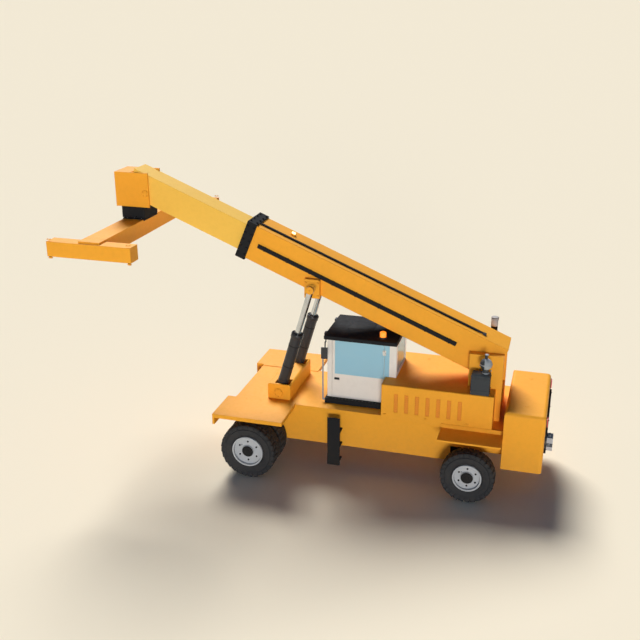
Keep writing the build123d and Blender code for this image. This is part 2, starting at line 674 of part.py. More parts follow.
# ================================================================ bodywork
NOTCH_REAR = CAB_REAR - DOOR_GAP
NOTCH_HALF_W = CAB_HALF_W + FREE_GAP
TOWER_IN = OUTER_HALF_W + TOWER_GAP
TOWER_OUT = TOWER_IN + TOWER_PLATE
with BuildPart() as engine_hood:
    block((AXLE_X + HOOD_REAR, AXLE_X + HOOD_FRONT), (-HOOD_HALF_W, HOOD_HALF_W), (DECK_Z, HOOD_TOP))
    fillet(edges().filter_by(Axis.X).group_by(Axis.Z)[-1], HOOD_ROUND)
    block(
        (AXLE_X + NOTCH_REAR, AXLE_X + HOOD_FRONT + 1), (-NOTCH_HALF_W, NOTCH_HALF_W),
        (DECK_Z, HOOD_TOP), Mode.SUBTRACT,
    )
    block(
        (AXLE_X + HOOD_REAR - 1, AXLE_X + TOWER_FRONT + FREE_GAP),
        (-TOWER_OUT - FREE_GAP, TOWER_OUT + FREE_GAP),
        (DECK_Z, HOOD_TOP), Mode.SUBTRACT,
    )
    inside = HOOD_HALF_W - HOOD_WALL
    block(
        (AXLE_X + TOWER_FRONT + FREE_GAP + HOOD_WALL, AXLE_X + NOTCH_REAR - HOOD_WALL),
        (-inside, inside), (DECK_Z, HOOD_TOP - HOOD_WALL), Mode.SUBTRACT,
    )
    for name, side in SIDES:
        block(
            (AXLE_X + NOTCH_REAR - HOOD_WALL - 1, AXLE_X + HOOD_FRONT - HOOD_WALL),
            mirrored((NOTCH_HALF_W + HOOD_WALL, inside), side),
            (DECK_Z, HOOD_TOP - HOOD_WALL), Mode.SUBTRACT,
        )
        block(
            (AXLE_X + HOOD_REAR + HOOD_WALL, AXLE_X + TOWER_FRONT + FREE_GAP + HOOD_WALL + 1),
            mirrored((TOWER_OUT + FREE_GAP + HOOD_WALL, inside), side),
            (DECK_Z, HOOD_TOP - HOOD_WALL), Mode.SUBTRACT,
        )
        block(
            (AXLE_X + REAR_FENDER_FRONT + SKIRT_GAP, AXLE_X + HOOD_FRONT),
            mirrored((inside, HOOD_HALF_W), side), (HOOD_SKIRT, DECK_Z + 1),
        )

    for name, side in SIDES:
        for i in range(LOUVRE_COUNT):
            x0 = AXLE_X + LOUVRE_REAR + i * LOUVRE_PITCH
            block(
                (x0, x0 + LOUVRE_WIDTH),
                mirrored((HOOD_HALF_W - LOUVRE_DEPTH, HOOD_HALF_W + 1), side),
                (LOUVRE_LOW, LOUVRE_HIGH), Mode.SUBTRACT,
            )

with BuildPart() as engine_block:
    block(
        (AXLE_X + ENGINE_X - ENGINE[0] / 2, AXLE_X + ENGINE_X + ENGINE[0] / 2),
        (-ENGINE[1] / 2, ENGINE[1] / 2),
        (DECK_Z, DECK_Z + ENGINE[2]),
    )

with BuildPart() as boom_tower:
    for name, side in SIDES:
        block(
            (AXLE_X + TOWER_REAR, AXLE_X + TOWER_FRONT), mirrored((TOWER_IN, TOWER_OUT), side),
            (DECK_Z, TOWER_TOP),
        )
    block(
        (AXLE_X + TOWER_REAR, AXLE_X + TOWER_FRONT), (-TOWER_IN, TOWER_IN),
        (DECK_Z, DECK_Z + TOWER_BASE_H),
    )
    cross_bar(PIVOT_X, PIVOT_Z, PIVOT_R, TOWER_OUT + PIVOT_PROUD)

with BuildPart() as cylinder_saddle:
    block(
        (AXLE_X + SADDLE_REAR, AXLE_X + SADDLE_FRONT), (-SADDLE_HALF_W, SADDLE_HALF_W),
        (DECK_Z, SADDLE_TOP),
    )
    fillet(edges().filter_by(Axis.Y).group_by(Axis.Z)[-1], SADDLE_ROUND)
    for name, side in SIDES:
        slot_y = mirrored((CYL_Y - BARREL_R - BARREL_SIDE_GAP, CYL_Y + BARREL_R + BARREL_SIDE_GAP), side)
        block(
            (FOOT_X - SADDLE_SLOT_BEHIND, FOOT_X + SADDLE_SLOT_AHEAD), slot_y,
            (DECK_Z - 1, SADDLE_TOP - SADDLE_COVER), Mode.SUBTRACT,
        )
        block(
            (FOOT_X - SADDLE_SLOT_BEHIND, FOOT_X + SADDLE_MOUTH_AHEAD), slot_y,
            (DECK_Z - 1, SADDLE_TOP + 1), Mode.SUBTRACT,
        )
        trunnion_reach = BARREL_R + TRUNNION_LONG + TRUNNION_SPARE
        side_disc(
            FOOT_X, TRUNNION_Z, TRUNNION_R + HINGE_GAP,
            mirrored((CYL_Y - trunnion_reach, CYL_Y + trunnion_reach), side), Mode.SUBTRACT,
        )


# ================================================================ cab
HINGE_X = AXLE_X + DOOR_REAR - DOOR_GAP / 2
HINGE_Y = CAB_HALF_W + DOOR_HINGE_R
SLAB_NOTCH = HOOD_FRONT + SLAB_GAP
SLAB_TOP = DECK_Z + SLAB_THICK
FRONT_WINDOW_HALF_W = CAB_HALF_W - FRONT_PILLAR
REAR_WINDOW_HALF_W = CAB_HALF_W - REAR_PILLAR
with BuildPart() as cab_floor:
    block((AXLE_X + SLAB_NOTCH, AXLE_X + SLAB_FRONT), (-SLAB_HALF_W, SLAB_HALF_W), (DECK_Z, SLAB_TOP))
    block((AXLE_X + CAB_REAR, AXLE_X + SLAB_NOTCH + 1), (-CAB_HALF_W, CAB_HALF_W), (DECK_Z, SLAB_TOP))

with BuildPart() as cab_shell:
    block((AXLE_X + CAB_REAR, AXLE_X + CAB_FRONT), (-CAB_HALF_W, CAB_HALF_W), (SLAB_TOP, CAB_TOP))
    block(
        (AXLE_X + CAB_REAR + CAB_WALL, AXLE_X + CAB_FRONT - CAB_WALL),
        (-CAB_HALF_W + CAB_WALL, CAB_HALF_W - CAB_WALL),
        (SLAB_TOP, CAB_TOP), Mode.SUBTRACT,
    )
    block(
        (AXLE_X + DOOR_REAR - DOOR_GAP, AXLE_X + DOOR_FRONT + DOOR_GAP),
        (CAB_HALF_W - CAB_WALL - 1, CAB_HALF_W + 1),
        (DOOR_LOW - DOOR_GAP, DOOR_HIGH + DOOR_GAP), Mode.SUBTRACT,
    )
    block(
        (AXLE_X + SIDE_WINDOW_REAR, AXLE_X + DOOR_REAR - DOOR_GAP - QUARTER_POST),
        (CAB_HALF_W - CAB_WALL - 1, CAB_HALF_W + 1),
        (WINDOW_LOW, WINDOW_HIGH), Mode.SUBTRACT,
    )
    block(
        (AXLE_X + SIDE_WINDOW_REAR, AXLE_X + SIDE_WINDOW_FRONT),
        (-CAB_HALF_W - 1, -CAB_HALF_W + CAB_WALL + 1),
        (WINDOW_LOW, WINDOW_HIGH), Mode.SUBTRACT,
    )
    block(
        (AXLE_X + CAB_FRONT - CAB_WALL - 1, AXLE_X + CAB_FRONT + 1),
        (-FRONT_WINDOW_HALF_W, FRONT_WINDOW_HALF_W),
        (FRONT_WINDOW_LOW, WINDOW_HIGH), Mode.SUBTRACT,
    )
    block(
        (AXLE_X + CAB_REAR - 1, AXLE_X + CAB_REAR + CAB_WALL + 1), (-REAR_WINDOW_HALF_W, REAR_WINDOW_HALF_W),
        (HOOD_TOP + REAR_WINDOW_LOW, WINDOW_HIGH), Mode.SUBTRACT,
    )

    for z0 in DOOR_HINGES:
        block(
            (HINGE_X - DOOR_PLATE, HINGE_X), (CAB_HALF_W, CAB_HALF_W + 2 * DOOR_HINGE_R),
            (z0, z0 + DOOR_HINGE_H),
        )
        post(HINGE_X, HINGE_Y, DOOR_HINGE_R, (z0, z0 + DOOR_HINGE_H))
        post(HINGE_X, HINGE_Y, DOOR_PIN_R, (z0, z0 + 2 * DOOR_HINGE_H))

with BuildPart() as cab_roof:
    block(
        (AXLE_X + ROOF_REAR, AXLE_X + ROOF_FRONT), (-ROOF_HALF_W, ROOF_HALF_W),
        (CAB_TOP, CAB_TOP + ROOF_THICK),
    )
    fillet(edges().filter_by(Axis.Z), ROOF_CORNER)
    fillet(faces().sort_by(Axis.Z)[-1].edges(), ROOF_ROUND)

with BuildPart() as cab_glass:
    for y in (
        (CAB_HALF_W - GLASS_IN - GLASS, CAB_HALF_W - GLASS_IN),
        (-CAB_HALF_W + GLASS_IN, -CAB_HALF_W + GLASS_IN + GLASS),
    ):
        front = DOOR_REAR - DOOR_GAP - QUARTER_POST if y[0] > 0 else SIDE_WINDOW_FRONT
        block((AXLE_X + SIDE_WINDOW_REAR, AXLE_X + front), y, (WINDOW_LOW, WINDOW_HIGH))
    block(
        (AXLE_X + CAB_FRONT - GLASS_IN - GLASS, AXLE_X + CAB_FRONT - GLASS_IN),
        (-FRONT_WINDOW_HALF_W, FRONT_WINDOW_HALF_W), (FRONT_WINDOW_LOW, WINDOW_HIGH),
    )
    block(
        (AXLE_X + CAB_REAR + GLASS_IN, AXLE_X + CAB_REAR + GLASS_IN + GLASS),
        (-REAR_WINDOW_HALF_W, REAR_WINDOW_HALF_W), (HOOD_TOP + REAR_WINDOW_LOW, WINDOW_HIGH),
    )

with BuildPart() as cab_door_left:
    block(
        (AXLE_X + DOOR_REAR, AXLE_X + DOOR_FRONT), (CAB_HALF_W - CAB_WALL, CAB_HALF_W),
        (DOOR_LOW, DOOR_HIGH),
    )
    block(
        (AXLE_X + DOOR_REAR + DOOR_STILE, AXLE_X + SIDE_WINDOW_FRONT),
        (CAB_HALF_W - CAB_WALL - 1, CAB_HALF_W + 1),
        (WINDOW_LOW, WINDOW_HIGH), Mode.SUBTRACT,
    )
    for z0 in DOOR_HINGES:
        sleeve = (z0 + DOOR_HINGE_H + SLIDE_GAP, z0 + 2 * DOOR_HINGE_H)
        block(
            (HINGE_X, HINGE_X + DOOR_PLATE), (CAB_HALF_W, CAB_HALF_W + 2 * DOOR_HINGE_R), sleeve,
        )
        post(HINGE_X, HINGE_Y, DOOR_HINGE_R, sleeve)
        post(HINGE_X, HINGE_Y, DOOR_PIN_R + HINGE_GAP, sleeve, Mode.SUBTRACT)

with BuildPart() as door_glass_left:
    block(
        (AXLE_X + DOOR_REAR + DOOR_STILE, AXLE_X + SIDE_WINDOW_FRONT),
        (CAB_HALF_W - GLASS_IN - GLASS, CAB_HALF_W - GLASS_IN), (WINDOW_LOW, WINDOW_HIGH),
    )

SEAT_X = AXLE_X + SEAT_AHEAD
with BuildPart() as operator_seat:
    pad_z = SLAB_TOP + SEAT_PAD_Z
    back_z = SLAB_TOP + SEAT_BACK_Z
    block(
        (SEAT_X - SEAT_PAD[0] / 2, SEAT_X + SEAT_PAD[0] / 2),
        (-SEAT_PAD[1] / 2, SEAT_PAD[1] / 2), (pad_z, pad_z + SEAT_PAD[2]),
    )
    block(
        (SEAT_X - SEAT_BACK_X - SEAT_BACK[0] / 2, SEAT_X - SEAT_BACK_X + SEAT_BACK[0] / 2),
        (-SEAT_BACK[1] / 2, SEAT_BACK[1] / 2), (back_z, back_z + SEAT_BACK[2]),
    )
    fillet(edges().filter_by(Axis.Y).group_by(Axis.Z)[-1], SEAT_ROUND)
    block(
        (SEAT_X - SEAT_BOX_HALF, SEAT_X + SEAT_BOX_HALF),
        (-SEAT_BOX_HALF, SEAT_BOX_HALF), (SLAB_TOP, pad_z + 1),
    )

WHEEL_X = SEAT_X + CONSOLE_AHEAD
COLUMN_AXIS = (-sin(radians(COLUMN_LEAN)), 0, cos(radians(COLUMN_LEAN)))
with BuildPart() as steering_console:
    block(
        (WHEEL_X + CONSOLE_BACK, WHEEL_X + CONSOLE_BACK + CONSOLE[0]),
        (-CONSOLE[1] / 2, CONSOLE[1] / 2), (SLAB_TOP, SLAB_TOP + CONSOLE[2]),
    )
    column_foot = (WHEEL_X + COLUMN_X, 0, SLAB_TOP + CONSOLE[2] - COLUMN_DOWN)
    with BuildSketch(Plane(origin=column_foot, z_dir=COLUMN_AXIS)):
        Circle(COLUMN_R)
    extrude(amount=COLUMN_LENGTH)
    with BuildSketch(Plane(origin=(WHEEL_X - WHEEL_BACK, 0, SLAB_TOP + WHEEL_Z), z_dir=COLUMN_AXIS)):
        Circle(WHEEL_R)
    extrude(amount=WHEEL_THICK)


# ================================================================ fittings
ARM_X = AXLE_X + ROOF_FRONT - ARM_BACK
ARM_Z = CAB_TOP - ARM_DOWN
ARM_IN = ROOF_HALF_W - ARM_BACK + FREE_GAP
ARM_OUT = ROOF_HALF_W + ARM + MIRROR_EDGE + 5
MIRROR_LOW = ARM_Z - MIRROR_DOWN
with BuildPart() as cab_mirrors:
    for name, side in SIDES:
        block(
            (ARM_X - MIRROR_REAR, ARM_X - MIRROR_REAR + MIRROR_WIDTH),
            mirrored((ARM_OUT - ARM - MIRROR_EDGE, ARM_OUT + MIRROR_EDGE), side),
            (MIRROR_LOW, MIRROR_LOW + MIRROR_H),
        )
        block(
            (ARM_X, ARM_X + ARM),
            mirrored((ARM_OUT - ARM, ARM_OUT), side), (MIRROR_LOW + MIRROR_H - 1, ARM_Z + ARM),
        )
        block(
            (ARM_X, ARM_X + ARM),
            mirrored((ARM_IN, ARM_OUT), side), (ARM_Z, ARM_Z + ARM),
        )
        block(
            (ARM_X, ARM_X + ARM),
            mirrored((ARM_IN, ARM_IN + ARM), side), (ARM_Z, CAB_TOP),
        )

HAND_X = AXLE_X + SLAB_FRONT + GRAB_AHEAD
HAND_Y = SLAB_HALF_W - GRAB_IN
with BuildPart() as handrails:
    for name, side in SIDES:
        low = DECK_Z + GRAB_LOW
        high = DECK_Z + GRAB_TOP_BRACKET
        post(HAND_X, side * HAND_Y, RAIL_TUBE_R, (low, low + GRAB_LENGTH))
        block(
            (AXLE_X + SLAB_FRONT, HAND_X),
            mirrored((HAND_Y - RAIL_TUBE_R, HAND_Y + RAIL_TUBE_R), side), (low, low + GRAB_BRACKET),
        )
        block(
            (AXLE_X + CAB_FRONT, HAND_X),
            mirrored((CAB_HALF_W - GRAB_LAP, HAND_Y + RAIL_TUBE_R), side), (high, high + GRAB_BRACKET),
        )

with BuildPart() as beacon:
    post(AXLE_X + BEACON_X, BEACON_Y, BEACON_R, (CAB_TOP + ROOF_THICK, CAB_TOP + ROOF_THICK + BEACON_H))
    fillet(edges().group_by(Axis.Z)[-1], BEACON_ROUND)

with BuildPart() as boarding_steps:
    for name, side in SIDES:
        block(
            (AXLE_X + STEP_PLATE_REAR, AXLE_X + STEP_PLATE_FRONT),
            mirrored((STEP_OUT - STEP_PLATE, STEP_OUT), side), (STEP_LOW, STEP_TOP),
        )
        for i in range(STEP_COUNT):
            tread_z = STEP_LOW + STEP_FIRST + i * STEP_RISE
            inner = CHASSIS_HALF_W if tread_z > CHASSIS_LOW else CHASSIS_HALF_W + STEP_IN
            block(
                (AXLE_X + STEP_PLATE_REAR, AXLE_X + STEP_PLATE_FRONT),
                mirrored((inner, STEP_OUT - STEP_PLATE + 1), side), (tread_z, tread_z + STEP_THICK),
            )

AIR_BOX_OUT = HOOD_HALF_W - AIR_BOX_EDGE
AIR_BOX_TOP = HOOD_TOP + AIR_BOX[2]
with BuildPart() as air_cleaner:
    block(
        (AXLE_X + AIR_BOX_REAR, AXLE_X + AIR_BOX_REAR + AIR_BOX[0]),
        (AIR_BOX_OUT - AIR_BOX[1], AIR_BOX_OUT), (HOOD_TOP, AIR_BOX_TOP),
    )
    chamfer(faces().sort_by(Axis.Z)[-1].edges(), AIR_BOX_CHAMFER)
    ball_x = AXLE_X + AIR_BOX_REAR + BALL_AHEAD
    ball_y = AIR_BOX_OUT - AIR_BOX[1] / 2
    ball_z = AIR_BOX_TOP + BALL_UP
    post(ball_x, ball_y, NECK_R, (AIR_BOX_TOP, ball_z))
    with Locations((ball_x, ball_y, ball_z)):
        Sphere(BALL_R)
    post(ball_x, ball_y, PLUG_R, (ball_z, ball_z + BALL_R + PLUG_UP))

with BuildPart() as exhaust_stack:
    post(AXLE_X + STACK_X, STACK_Y, STACK_R, (HOOD_TOP, STACK_TOP))
    post(
        AXLE_X + STACK_X, STACK_Y, STACK_R - STACK_WALL, (HOOD_TOP + STACK_FLOOR, STACK_TOP),
        Mode.SUBTRACT,
    )


# ================================================================ boom
with BuildPart() as outer_boom:
    boom_block((OUTER_REAR, COLLAR_FRONT - COLLAR_LIP), (OUTER_LOW, OUTER_HIGH), OUTER_HALF_W)
    boom_block(
        (OUTER_REAR + OUTER_WALL, COLLAR_REAR),
        (OUTER_LOW + OUTER_WALL, OUTER_HIGH - OUTER_WALL),
        OUTER_HALF_W - OUTER_WALL, Mode.SUBTRACT,
    )
    boom_block(
        (COLLAR_REAR - 1, COLLAR_FRONT + 1), (INNER_LOW - SLIDE_GAP, INNER_HIGH + SLIDE_GAP),
        INNER_HALF_W + SLIDE_GAP, Mode.SUBTRACT,
    )
    cross_bar(PIVOT_X, PIVOT_Z, PIVOT_R + HINGE_GAP, OUTER_HALF_W + 1, Mode.SUBTRACT)

with BuildPart() as boom_collar:
    boom_block(
        (COLLAR_REAR, COLLAR_FRONT), (OUTER_LOW - COLLAR_UNDER, OUTER_HIGH + COLLAR_PROUD),
        OUTER_HALF_W + COLLAR_PROUD,
    )
    boom_block(
        (COLLAR_REAR - 1, COLLAR_FRONT - COLLAR_LIP), (OUTER_LOW, OUTER_HIGH), OUTER_HALF_W,
        Mode.SUBTRACT,
    )
    boom_block(
        (COLLAR_REAR, COLLAR_FRONT + 1), (INNER_LOW - SLIDE_GAP, INNER_HIGH + SLIDE_GAP),
        INNER_HALF_W + SLIDE_GAP, Mode.SUBTRACT,
    )

with BuildPart() as boom_brackets:
    for name, side in SIDES:
        block(
            (EYE_X - BRACKET_L / 2 + BRACKET_AHEAD, EYE_X + BRACKET_L / 2 + BRACKET_AHEAD),
            mirrored((OUTER_HALF_W, BRACKET_OUT), side),
            (EYE_Z - BRACKET_H / 2 - BRACKET_DOWN, EYE_Z + BRACKET_H / 2 - BRACKET_DOWN),
        )
    rail_low = OUTER_HIGH + RAIL_H - RAIL_SIZE / 2
    boom_block(
        (EYE_S - BRACKET_H, EYE_S + BRACKET_H), (rail_low - FREE_GAP, rail_low + RAIL_SIZE * 2),
        BRACKET_OUT + 1, Mode.SUBTRACT,
    )

with BuildPart() as hose_rails:
    for y_outer in (OUTER_HALF_W + RAIL_PROUD, -OUTER_HALF_W):
        with BuildSketch(BOOM_SIDE.offset(-y_outer)):
            with Locations(((RAIL_REAR + RAIL_FRONT) / 2, OUTER_HIGH + RAIL_H)):
                Rectangle(RAIL_FRONT - RAIL_REAR, RAIL_SIZE)
        extrude(amount=RAIL_PROUD)
    with BuildSketch(BOOM_TOP):
        with Locations(((TOP_RAIL_REAR + TOP_RAIL_FRONT) / 2, TOP_RAIL_Y)):
            Rectangle(TOP_RAIL_FRONT - TOP_RAIL_REAR, TOP_RAIL_W)
    extrude(amount=RAIL_PROUD)

HEAD_PIN_X = NOSE_X - HEAD_PIN_BACK
HEAD_PIN_Z = NOSE_Z - HEAD_PIN_DOWN
with BuildPart() as inner_boom:
    boom_block((INNER_REAR, INNER_FRONT), (INNER_LOW, INNER_HIGH), INNER_HALF_W)
    boom_block(
        (INNER_REAR - 1, INNER_FRONT - INNER_WALL),
        (INNER_LOW + INNER_WALL, INNER_HIGH - INNER_WALL),
        INNER_HALF_W - INNER_WALL, Mode.SUBTRACT,
    )
    cross_bar(HEAD_PIN_X, HEAD_PIN_Z, HEAD_PIN_R + HINGE_GAP, INNER_HALF_W + 1, Mode.SUBTRACT)

# ---------------------------------------------------------------- head and rotator
CHEEK_IN = HEAD_HALF_W - HEAD_CHEEK
with BuildPart() as boom_head:
    for name, side in SIDES:
        block(
            (NOSE_X - HEAD_HALF_L, NOSE_X + HEAD_HALF_L), mirrored((CHEEK_IN, HEAD_HALF_W), side),
            (SLEW_TOP, NOSE_Z + HEAD_UP),
        )
    block(
        (NOSE_X + HEAD_HALF_L - HEAD_PLATE, NOSE_X + HEAD_HALF_L), (-CHEEK_IN - 1, CHEEK_IN + 1),
        (SLEW_TOP, NOSE_Z + HEAD_UP),
    )
    block(
        (NOSE_X - HEAD_SOLE_BACK, NOSE_X + HEAD_HALF_L - 1), (-CHEEK_IN - 1, CHEEK_IN + 1),
        (SLEW_TOP, SLEW_TOP + HEAD_PLATE),
    )
    block(
        (NOSE_X + HEAD_MOUTH, NOSE_X + HEAD_HALF_L - 1), (-CHEEK_IN - 1, CHEEK_IN + 1),
        (NOSE_Z + HEAD_UP - HEAD_PLATE, NOSE_Z + HEAD_UP),
    )
    cross_bar(HEAD_PIN_X, HEAD_PIN_Z, HEAD_PIN_R, CHEEK_IN + 1)

with BuildPart() as rotator_housing:
    block(
        (NOSE_X - SLEW_HALF_L, NOSE_X + SLEW_HALF_L), (-SLEW_HALF_W, SLEW_HALF_W),
        (SLEW_LOW, SLEW_TOP),
    )
    fillet(edges().filter_by(Axis.Z), SLEW_ROUND)

with BuildPart() as slew_table:
    post(NOSE_X, 0, RING_R, (SLEW_LOW - HINGE_GAP - RING_HEIGHT, SLEW_LOW - HINGE_GAP))
    shoe_top = BEAM_TOP + SLIDE_GAP + SHOE_PLATE
    shoe_half = BEAM_HALF_X + SHOE_GAP + SHOE_LIP
    block(
        (NOSE_X - shoe_half, NOSE_X + shoe_half), (-SLEW_HALF_W, SLEW_HALF_W),
        (BEAM_TOP + SLIDE_GAP, shoe_top),
    )
    for x0 in (NOSE_X - shoe_half, NOSE_X + shoe_half - SHOE_LIP):
        block((x0, x0 + SHOE_LIP), (-SLEW_HALF_W, SLEW_HALF_W), (BEAM_TOP - SHOE_DROP, shoe_top))

# ---------------------------------------------------------------- spreader
CHANNEL_IN = BEAM_WEB / 2
CHANNEL_OUT = BEAM_HALF_X - BEAM_WALL
SLIDER_MID = (CHANNEL_IN + CHANNEL_OUT) / 2
with BuildPart() as spreader_beam:
    block((NOSE_X - BEAM_HALF_X, NOSE_X + BEAM_HALF_X), (-BEAM_HALF_Y, BEAM_HALF_Y), (BEAM_LOW, BEAM_TOP))
    for way in (-1, 1):
        lo, hi = sorted((NOSE_X + way * CHANNEL_IN, NOSE_X + way * CHANNEL_OUT))
        block(
            (lo, hi), (-BEAM_HALF_Y - 1, BEAM_HALF_Y + 1),
            (BEAM_LOW + BEAM_WALL, BEAM_TOP - BEAM_WALL), Mode.SUBTRACT,
        )

ends = {}
for name, side in SIDES:
    with BuildPart() as end_beam:
        near = BEAM_HALF_Y + END_GAP
        block(
            (NOSE_X - END_HALF_X, NOSE_X + END_HALF_X), mirrored((near, near + END_WIDTH), side),
            (END_LOW, END_TOP),
        )
        block(
            (NOSE_X - BEAM_HALF_X, NOSE_X + BEAM_HALF_X), mirrored((near, near + END_CAP), side),
            (END_TOP - 1, BEAM_TOP),
        )
        mid = NOSE_X + side * SLIDER_MID
        low = BEAM_LOW + BEAM_WALL + SLIDE_GAP
        block(
            (mid - SLIDER_WIDTH / 2, mid + SLIDER_WIDTH / 2),
            mirrored((near + 1 - SLIDER_TAIL, near + 1), side), (low, low + SLIDER_HEIGHT),
        )
        for x in (NOSE_X - LOCK_X, NOSE_X + LOCK_X):
            post(x, side * LOCK_Y, LOCK_R, (END_LOW - LOCK_SHAFT, END_LOW))
            with BuildSketch(Plane.XY.offset(END_LOW - LOCK_SHAFT)):
                with Locations((x, side * LOCK_Y)):
                    Rectangle(LOCK_HEAD_L, LOCK_HEAD_W)
            extrude(amount=-LOCK_HEAD_H, taper=LOCK_TAPER)
    end_beam.part.label = "end_beam_" + name
    ends[end_beam.part.label] = end_beam.part

# ================================================================ lift cylinders
cylinders = {}
LEAN_UP = Plane(
    origin=(FOOT_X, 0, TRUNNION_Z),
    x_dir=(0, 1, 0),
    z_dir=(EYE_X - FOOT_X, 0, EYE_Z - TRUNNION_Z),
)
for name, side in SIDES:
    with BuildPart() as barrel:
        with BuildSketch(LEAN_UP.offset(-BARREL_DOWN)):
            with Locations((side * CYL_Y, 0)):
                Circle(BARREL_R)
        extrude(amount=BARREL_DOWN + BARREL_UP)
        with BuildSketch(LEAN_UP.offset(-BARREL_DOWN + BARREL_CAP)):
            with Locations((side * CYL_Y, 0)):
                Circle(BARREL_R - BARREL_WALL)
        extrude(amount=BARREL_DOWN + BARREL_UP - BARREL_CAP - BARREL_GLAND, mode=Mode.SUBTRACT)
        with BuildSketch(LEAN_UP.offset(-BARREL_DOWN + BARREL_CAP)):
            with Locations((side * CYL_Y, 0)):
                Circle(ROD_R + HINGE_GAP)
        extrude(amount=BARREL_DOWN + BARREL_UP, mode=Mode.SUBTRACT)
        for way in (-1, 1):
            stub = sorted((
                side * CYL_Y + way * (BARREL_R - TRUNNION_SUNK),
                side * CYL_Y + way * (BARREL_R + TRUNNION_LONG),
            ))
            side_disc(FOOT_X, TRUNNION_Z, TRUNNION_R, stub)
    barrel.part.label = "lift_barrel_" + name
    cylinders[barrel.part.label] = barrel.part
    with BuildPart() as rod:
        tail = BARREL_DOWN - BARREL_CAP - PISTON_LOW
        with BuildSketch(LEAN_UP.offset(-tail)):
            with Locations((side * CYL_Y, 0)):
                Circle(ROD_R)
        extrude(amount=tail + CYL_LENGTH - EYE_R / 2)
        with BuildSketch(LEAN_UP.offset(-tail)):
            with Locations((side * CYL_Y, 0)):
                Circle(BARREL_R - BARREL_WALL - HINGE_GAP)
        extrude(amount=PISTON_H)
        side_disc(EYE_X, EYE_Z, EYE_R, mirrored((CYL_Y - EYE_W / 2, CYL_Y + EYE_W / 2), side))
        pin_reach = (BRACKET_OUT + EYE_PIN_GAP, CYL_Y + EYE_W / 2 + EYE_PIN_LONG)
        side_disc(EYE_X, EYE_Z, EYE_PIN_R, mirrored(pin_reach, side))
    rod.part.label = "lift_rod_" + name
    cylinders[rod.part.label] = rod.part

# ================================================================ files
SINGLES = {
    "chassis_frame": chassis_frame, "front_axle": front_axle, "rear_axle": rear_axle,
    "fenders": fenders, "counterweight": counterweight, "rear_grille": rear_grille,
    "tow_hitch": tow_hitch, "engine_hood": engine_hood, "engine_block": engine_block,
    "boom_tower": boom_tower, "cylinder_saddle": cylinder_saddle, "cab_floor": cab_floor,
    "cab_shell": cab_shell, "cab_roof": cab_roof, "cab_glass": cab_glass,
    "cab_door_left": cab_door_left, "door_glass_left": door_glass_left,
    "operator_seat": operator_seat, "steering_console": steering_console,
    "cab_mirrors": cab_mirrors, "handrails": handrails, "beacon": beacon,
    "boarding_steps": boarding_steps, "air_cleaner": air_cleaner, "exhaust_stack": exhaust_stack,
    "outer_boom": outer_boom, "boom_collar": boom_collar,
    "boom_brackets": boom_brackets, "hose_rails": hose_rails,
    "inner_boom": inner_boom, "boom_head": boom_head, "rotator_housing": rotator_housing,
    "slew_table": slew_table, "spreader_beam": spreader_beam,
}
pieces = {name: builder.part for name, builder in SINGLES.items()}
pieces.update({"knuckle_" + name: part for name, part in knuckles.items()})
pieces.update(wheels)
pieces.update(ends)
pieces.update(cylinders)
for name, part in pieces.items():
    part.label = name
    export_step(part, "parts/" + name + ".step")
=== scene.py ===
import json
import math

import bmesh
import bpy
from mathutils import Matrix, Vector

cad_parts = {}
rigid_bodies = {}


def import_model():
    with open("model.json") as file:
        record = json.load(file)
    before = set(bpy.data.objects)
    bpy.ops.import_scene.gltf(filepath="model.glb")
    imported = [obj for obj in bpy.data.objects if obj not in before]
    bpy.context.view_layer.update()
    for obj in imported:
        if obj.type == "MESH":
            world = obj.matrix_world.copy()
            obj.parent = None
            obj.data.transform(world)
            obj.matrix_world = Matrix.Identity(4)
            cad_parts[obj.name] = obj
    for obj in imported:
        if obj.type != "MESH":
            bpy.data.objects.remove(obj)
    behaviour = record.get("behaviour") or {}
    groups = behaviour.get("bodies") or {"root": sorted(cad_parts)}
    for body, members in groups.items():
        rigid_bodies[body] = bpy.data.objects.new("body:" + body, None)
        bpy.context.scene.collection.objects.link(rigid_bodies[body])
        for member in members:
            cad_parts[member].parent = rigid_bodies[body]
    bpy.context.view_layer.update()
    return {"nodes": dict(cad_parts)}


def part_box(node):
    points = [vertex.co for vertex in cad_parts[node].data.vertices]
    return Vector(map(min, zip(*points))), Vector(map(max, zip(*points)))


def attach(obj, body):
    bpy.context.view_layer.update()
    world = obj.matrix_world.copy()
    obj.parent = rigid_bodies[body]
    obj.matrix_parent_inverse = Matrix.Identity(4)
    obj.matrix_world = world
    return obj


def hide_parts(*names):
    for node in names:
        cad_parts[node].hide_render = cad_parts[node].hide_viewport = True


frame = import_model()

bl_info = {
    "name": "Reach Stacker Details",
    "version": (1, 0, 0),
    "blender": (4, 5, 0),
    "location": "View3D > Sidebar > Reach Stacker",
    "description": "Finishes a container reach stacker: tyres, louvres, lamps, cab trim and paint",
    "category": "Object",
}

CENTRE = Vector((0.0, 0.0, 0.0))
LEFT, RIGHT = 1, -1
SIDES = (("left", LEFT), ("right", RIGHT))
FORWARD = Vector((1.0, 0.0, 0.0))
ACROSS = Vector((0.0, 1.0, 0.0))
UP = Vector((0.0, 0.0, 1.0))
FULL_TURN = 2 * math.pi
GAP = 0.0005             # how far added pieces stand off the CAD faces
RING_GAP = 0.0006        # a little more, for turned pieces and panes
CREASE = 35              # edges sharper than this, in degrees, stay sharp
REAR_AXLE = -4.48202
HOOD_TOP = 2.726         # top of the hood, behind the cab
PIVOT = Vector((-4.66202, 0.0, 3.3))
ROD_EYE = Vector((0.06819, 0.75, 5.04955))
BOOM_ANGLE = math.radians(22.4)
BOOM_ALONG = Vector((math.cos(BOOM_ANGLE), 0.0, math.sin(BOOM_ANGLE)))
BOOM_UP = Vector((-math.sin(BOOM_ANGLE), 0.0, math.cos(BOOM_ANGLE)))
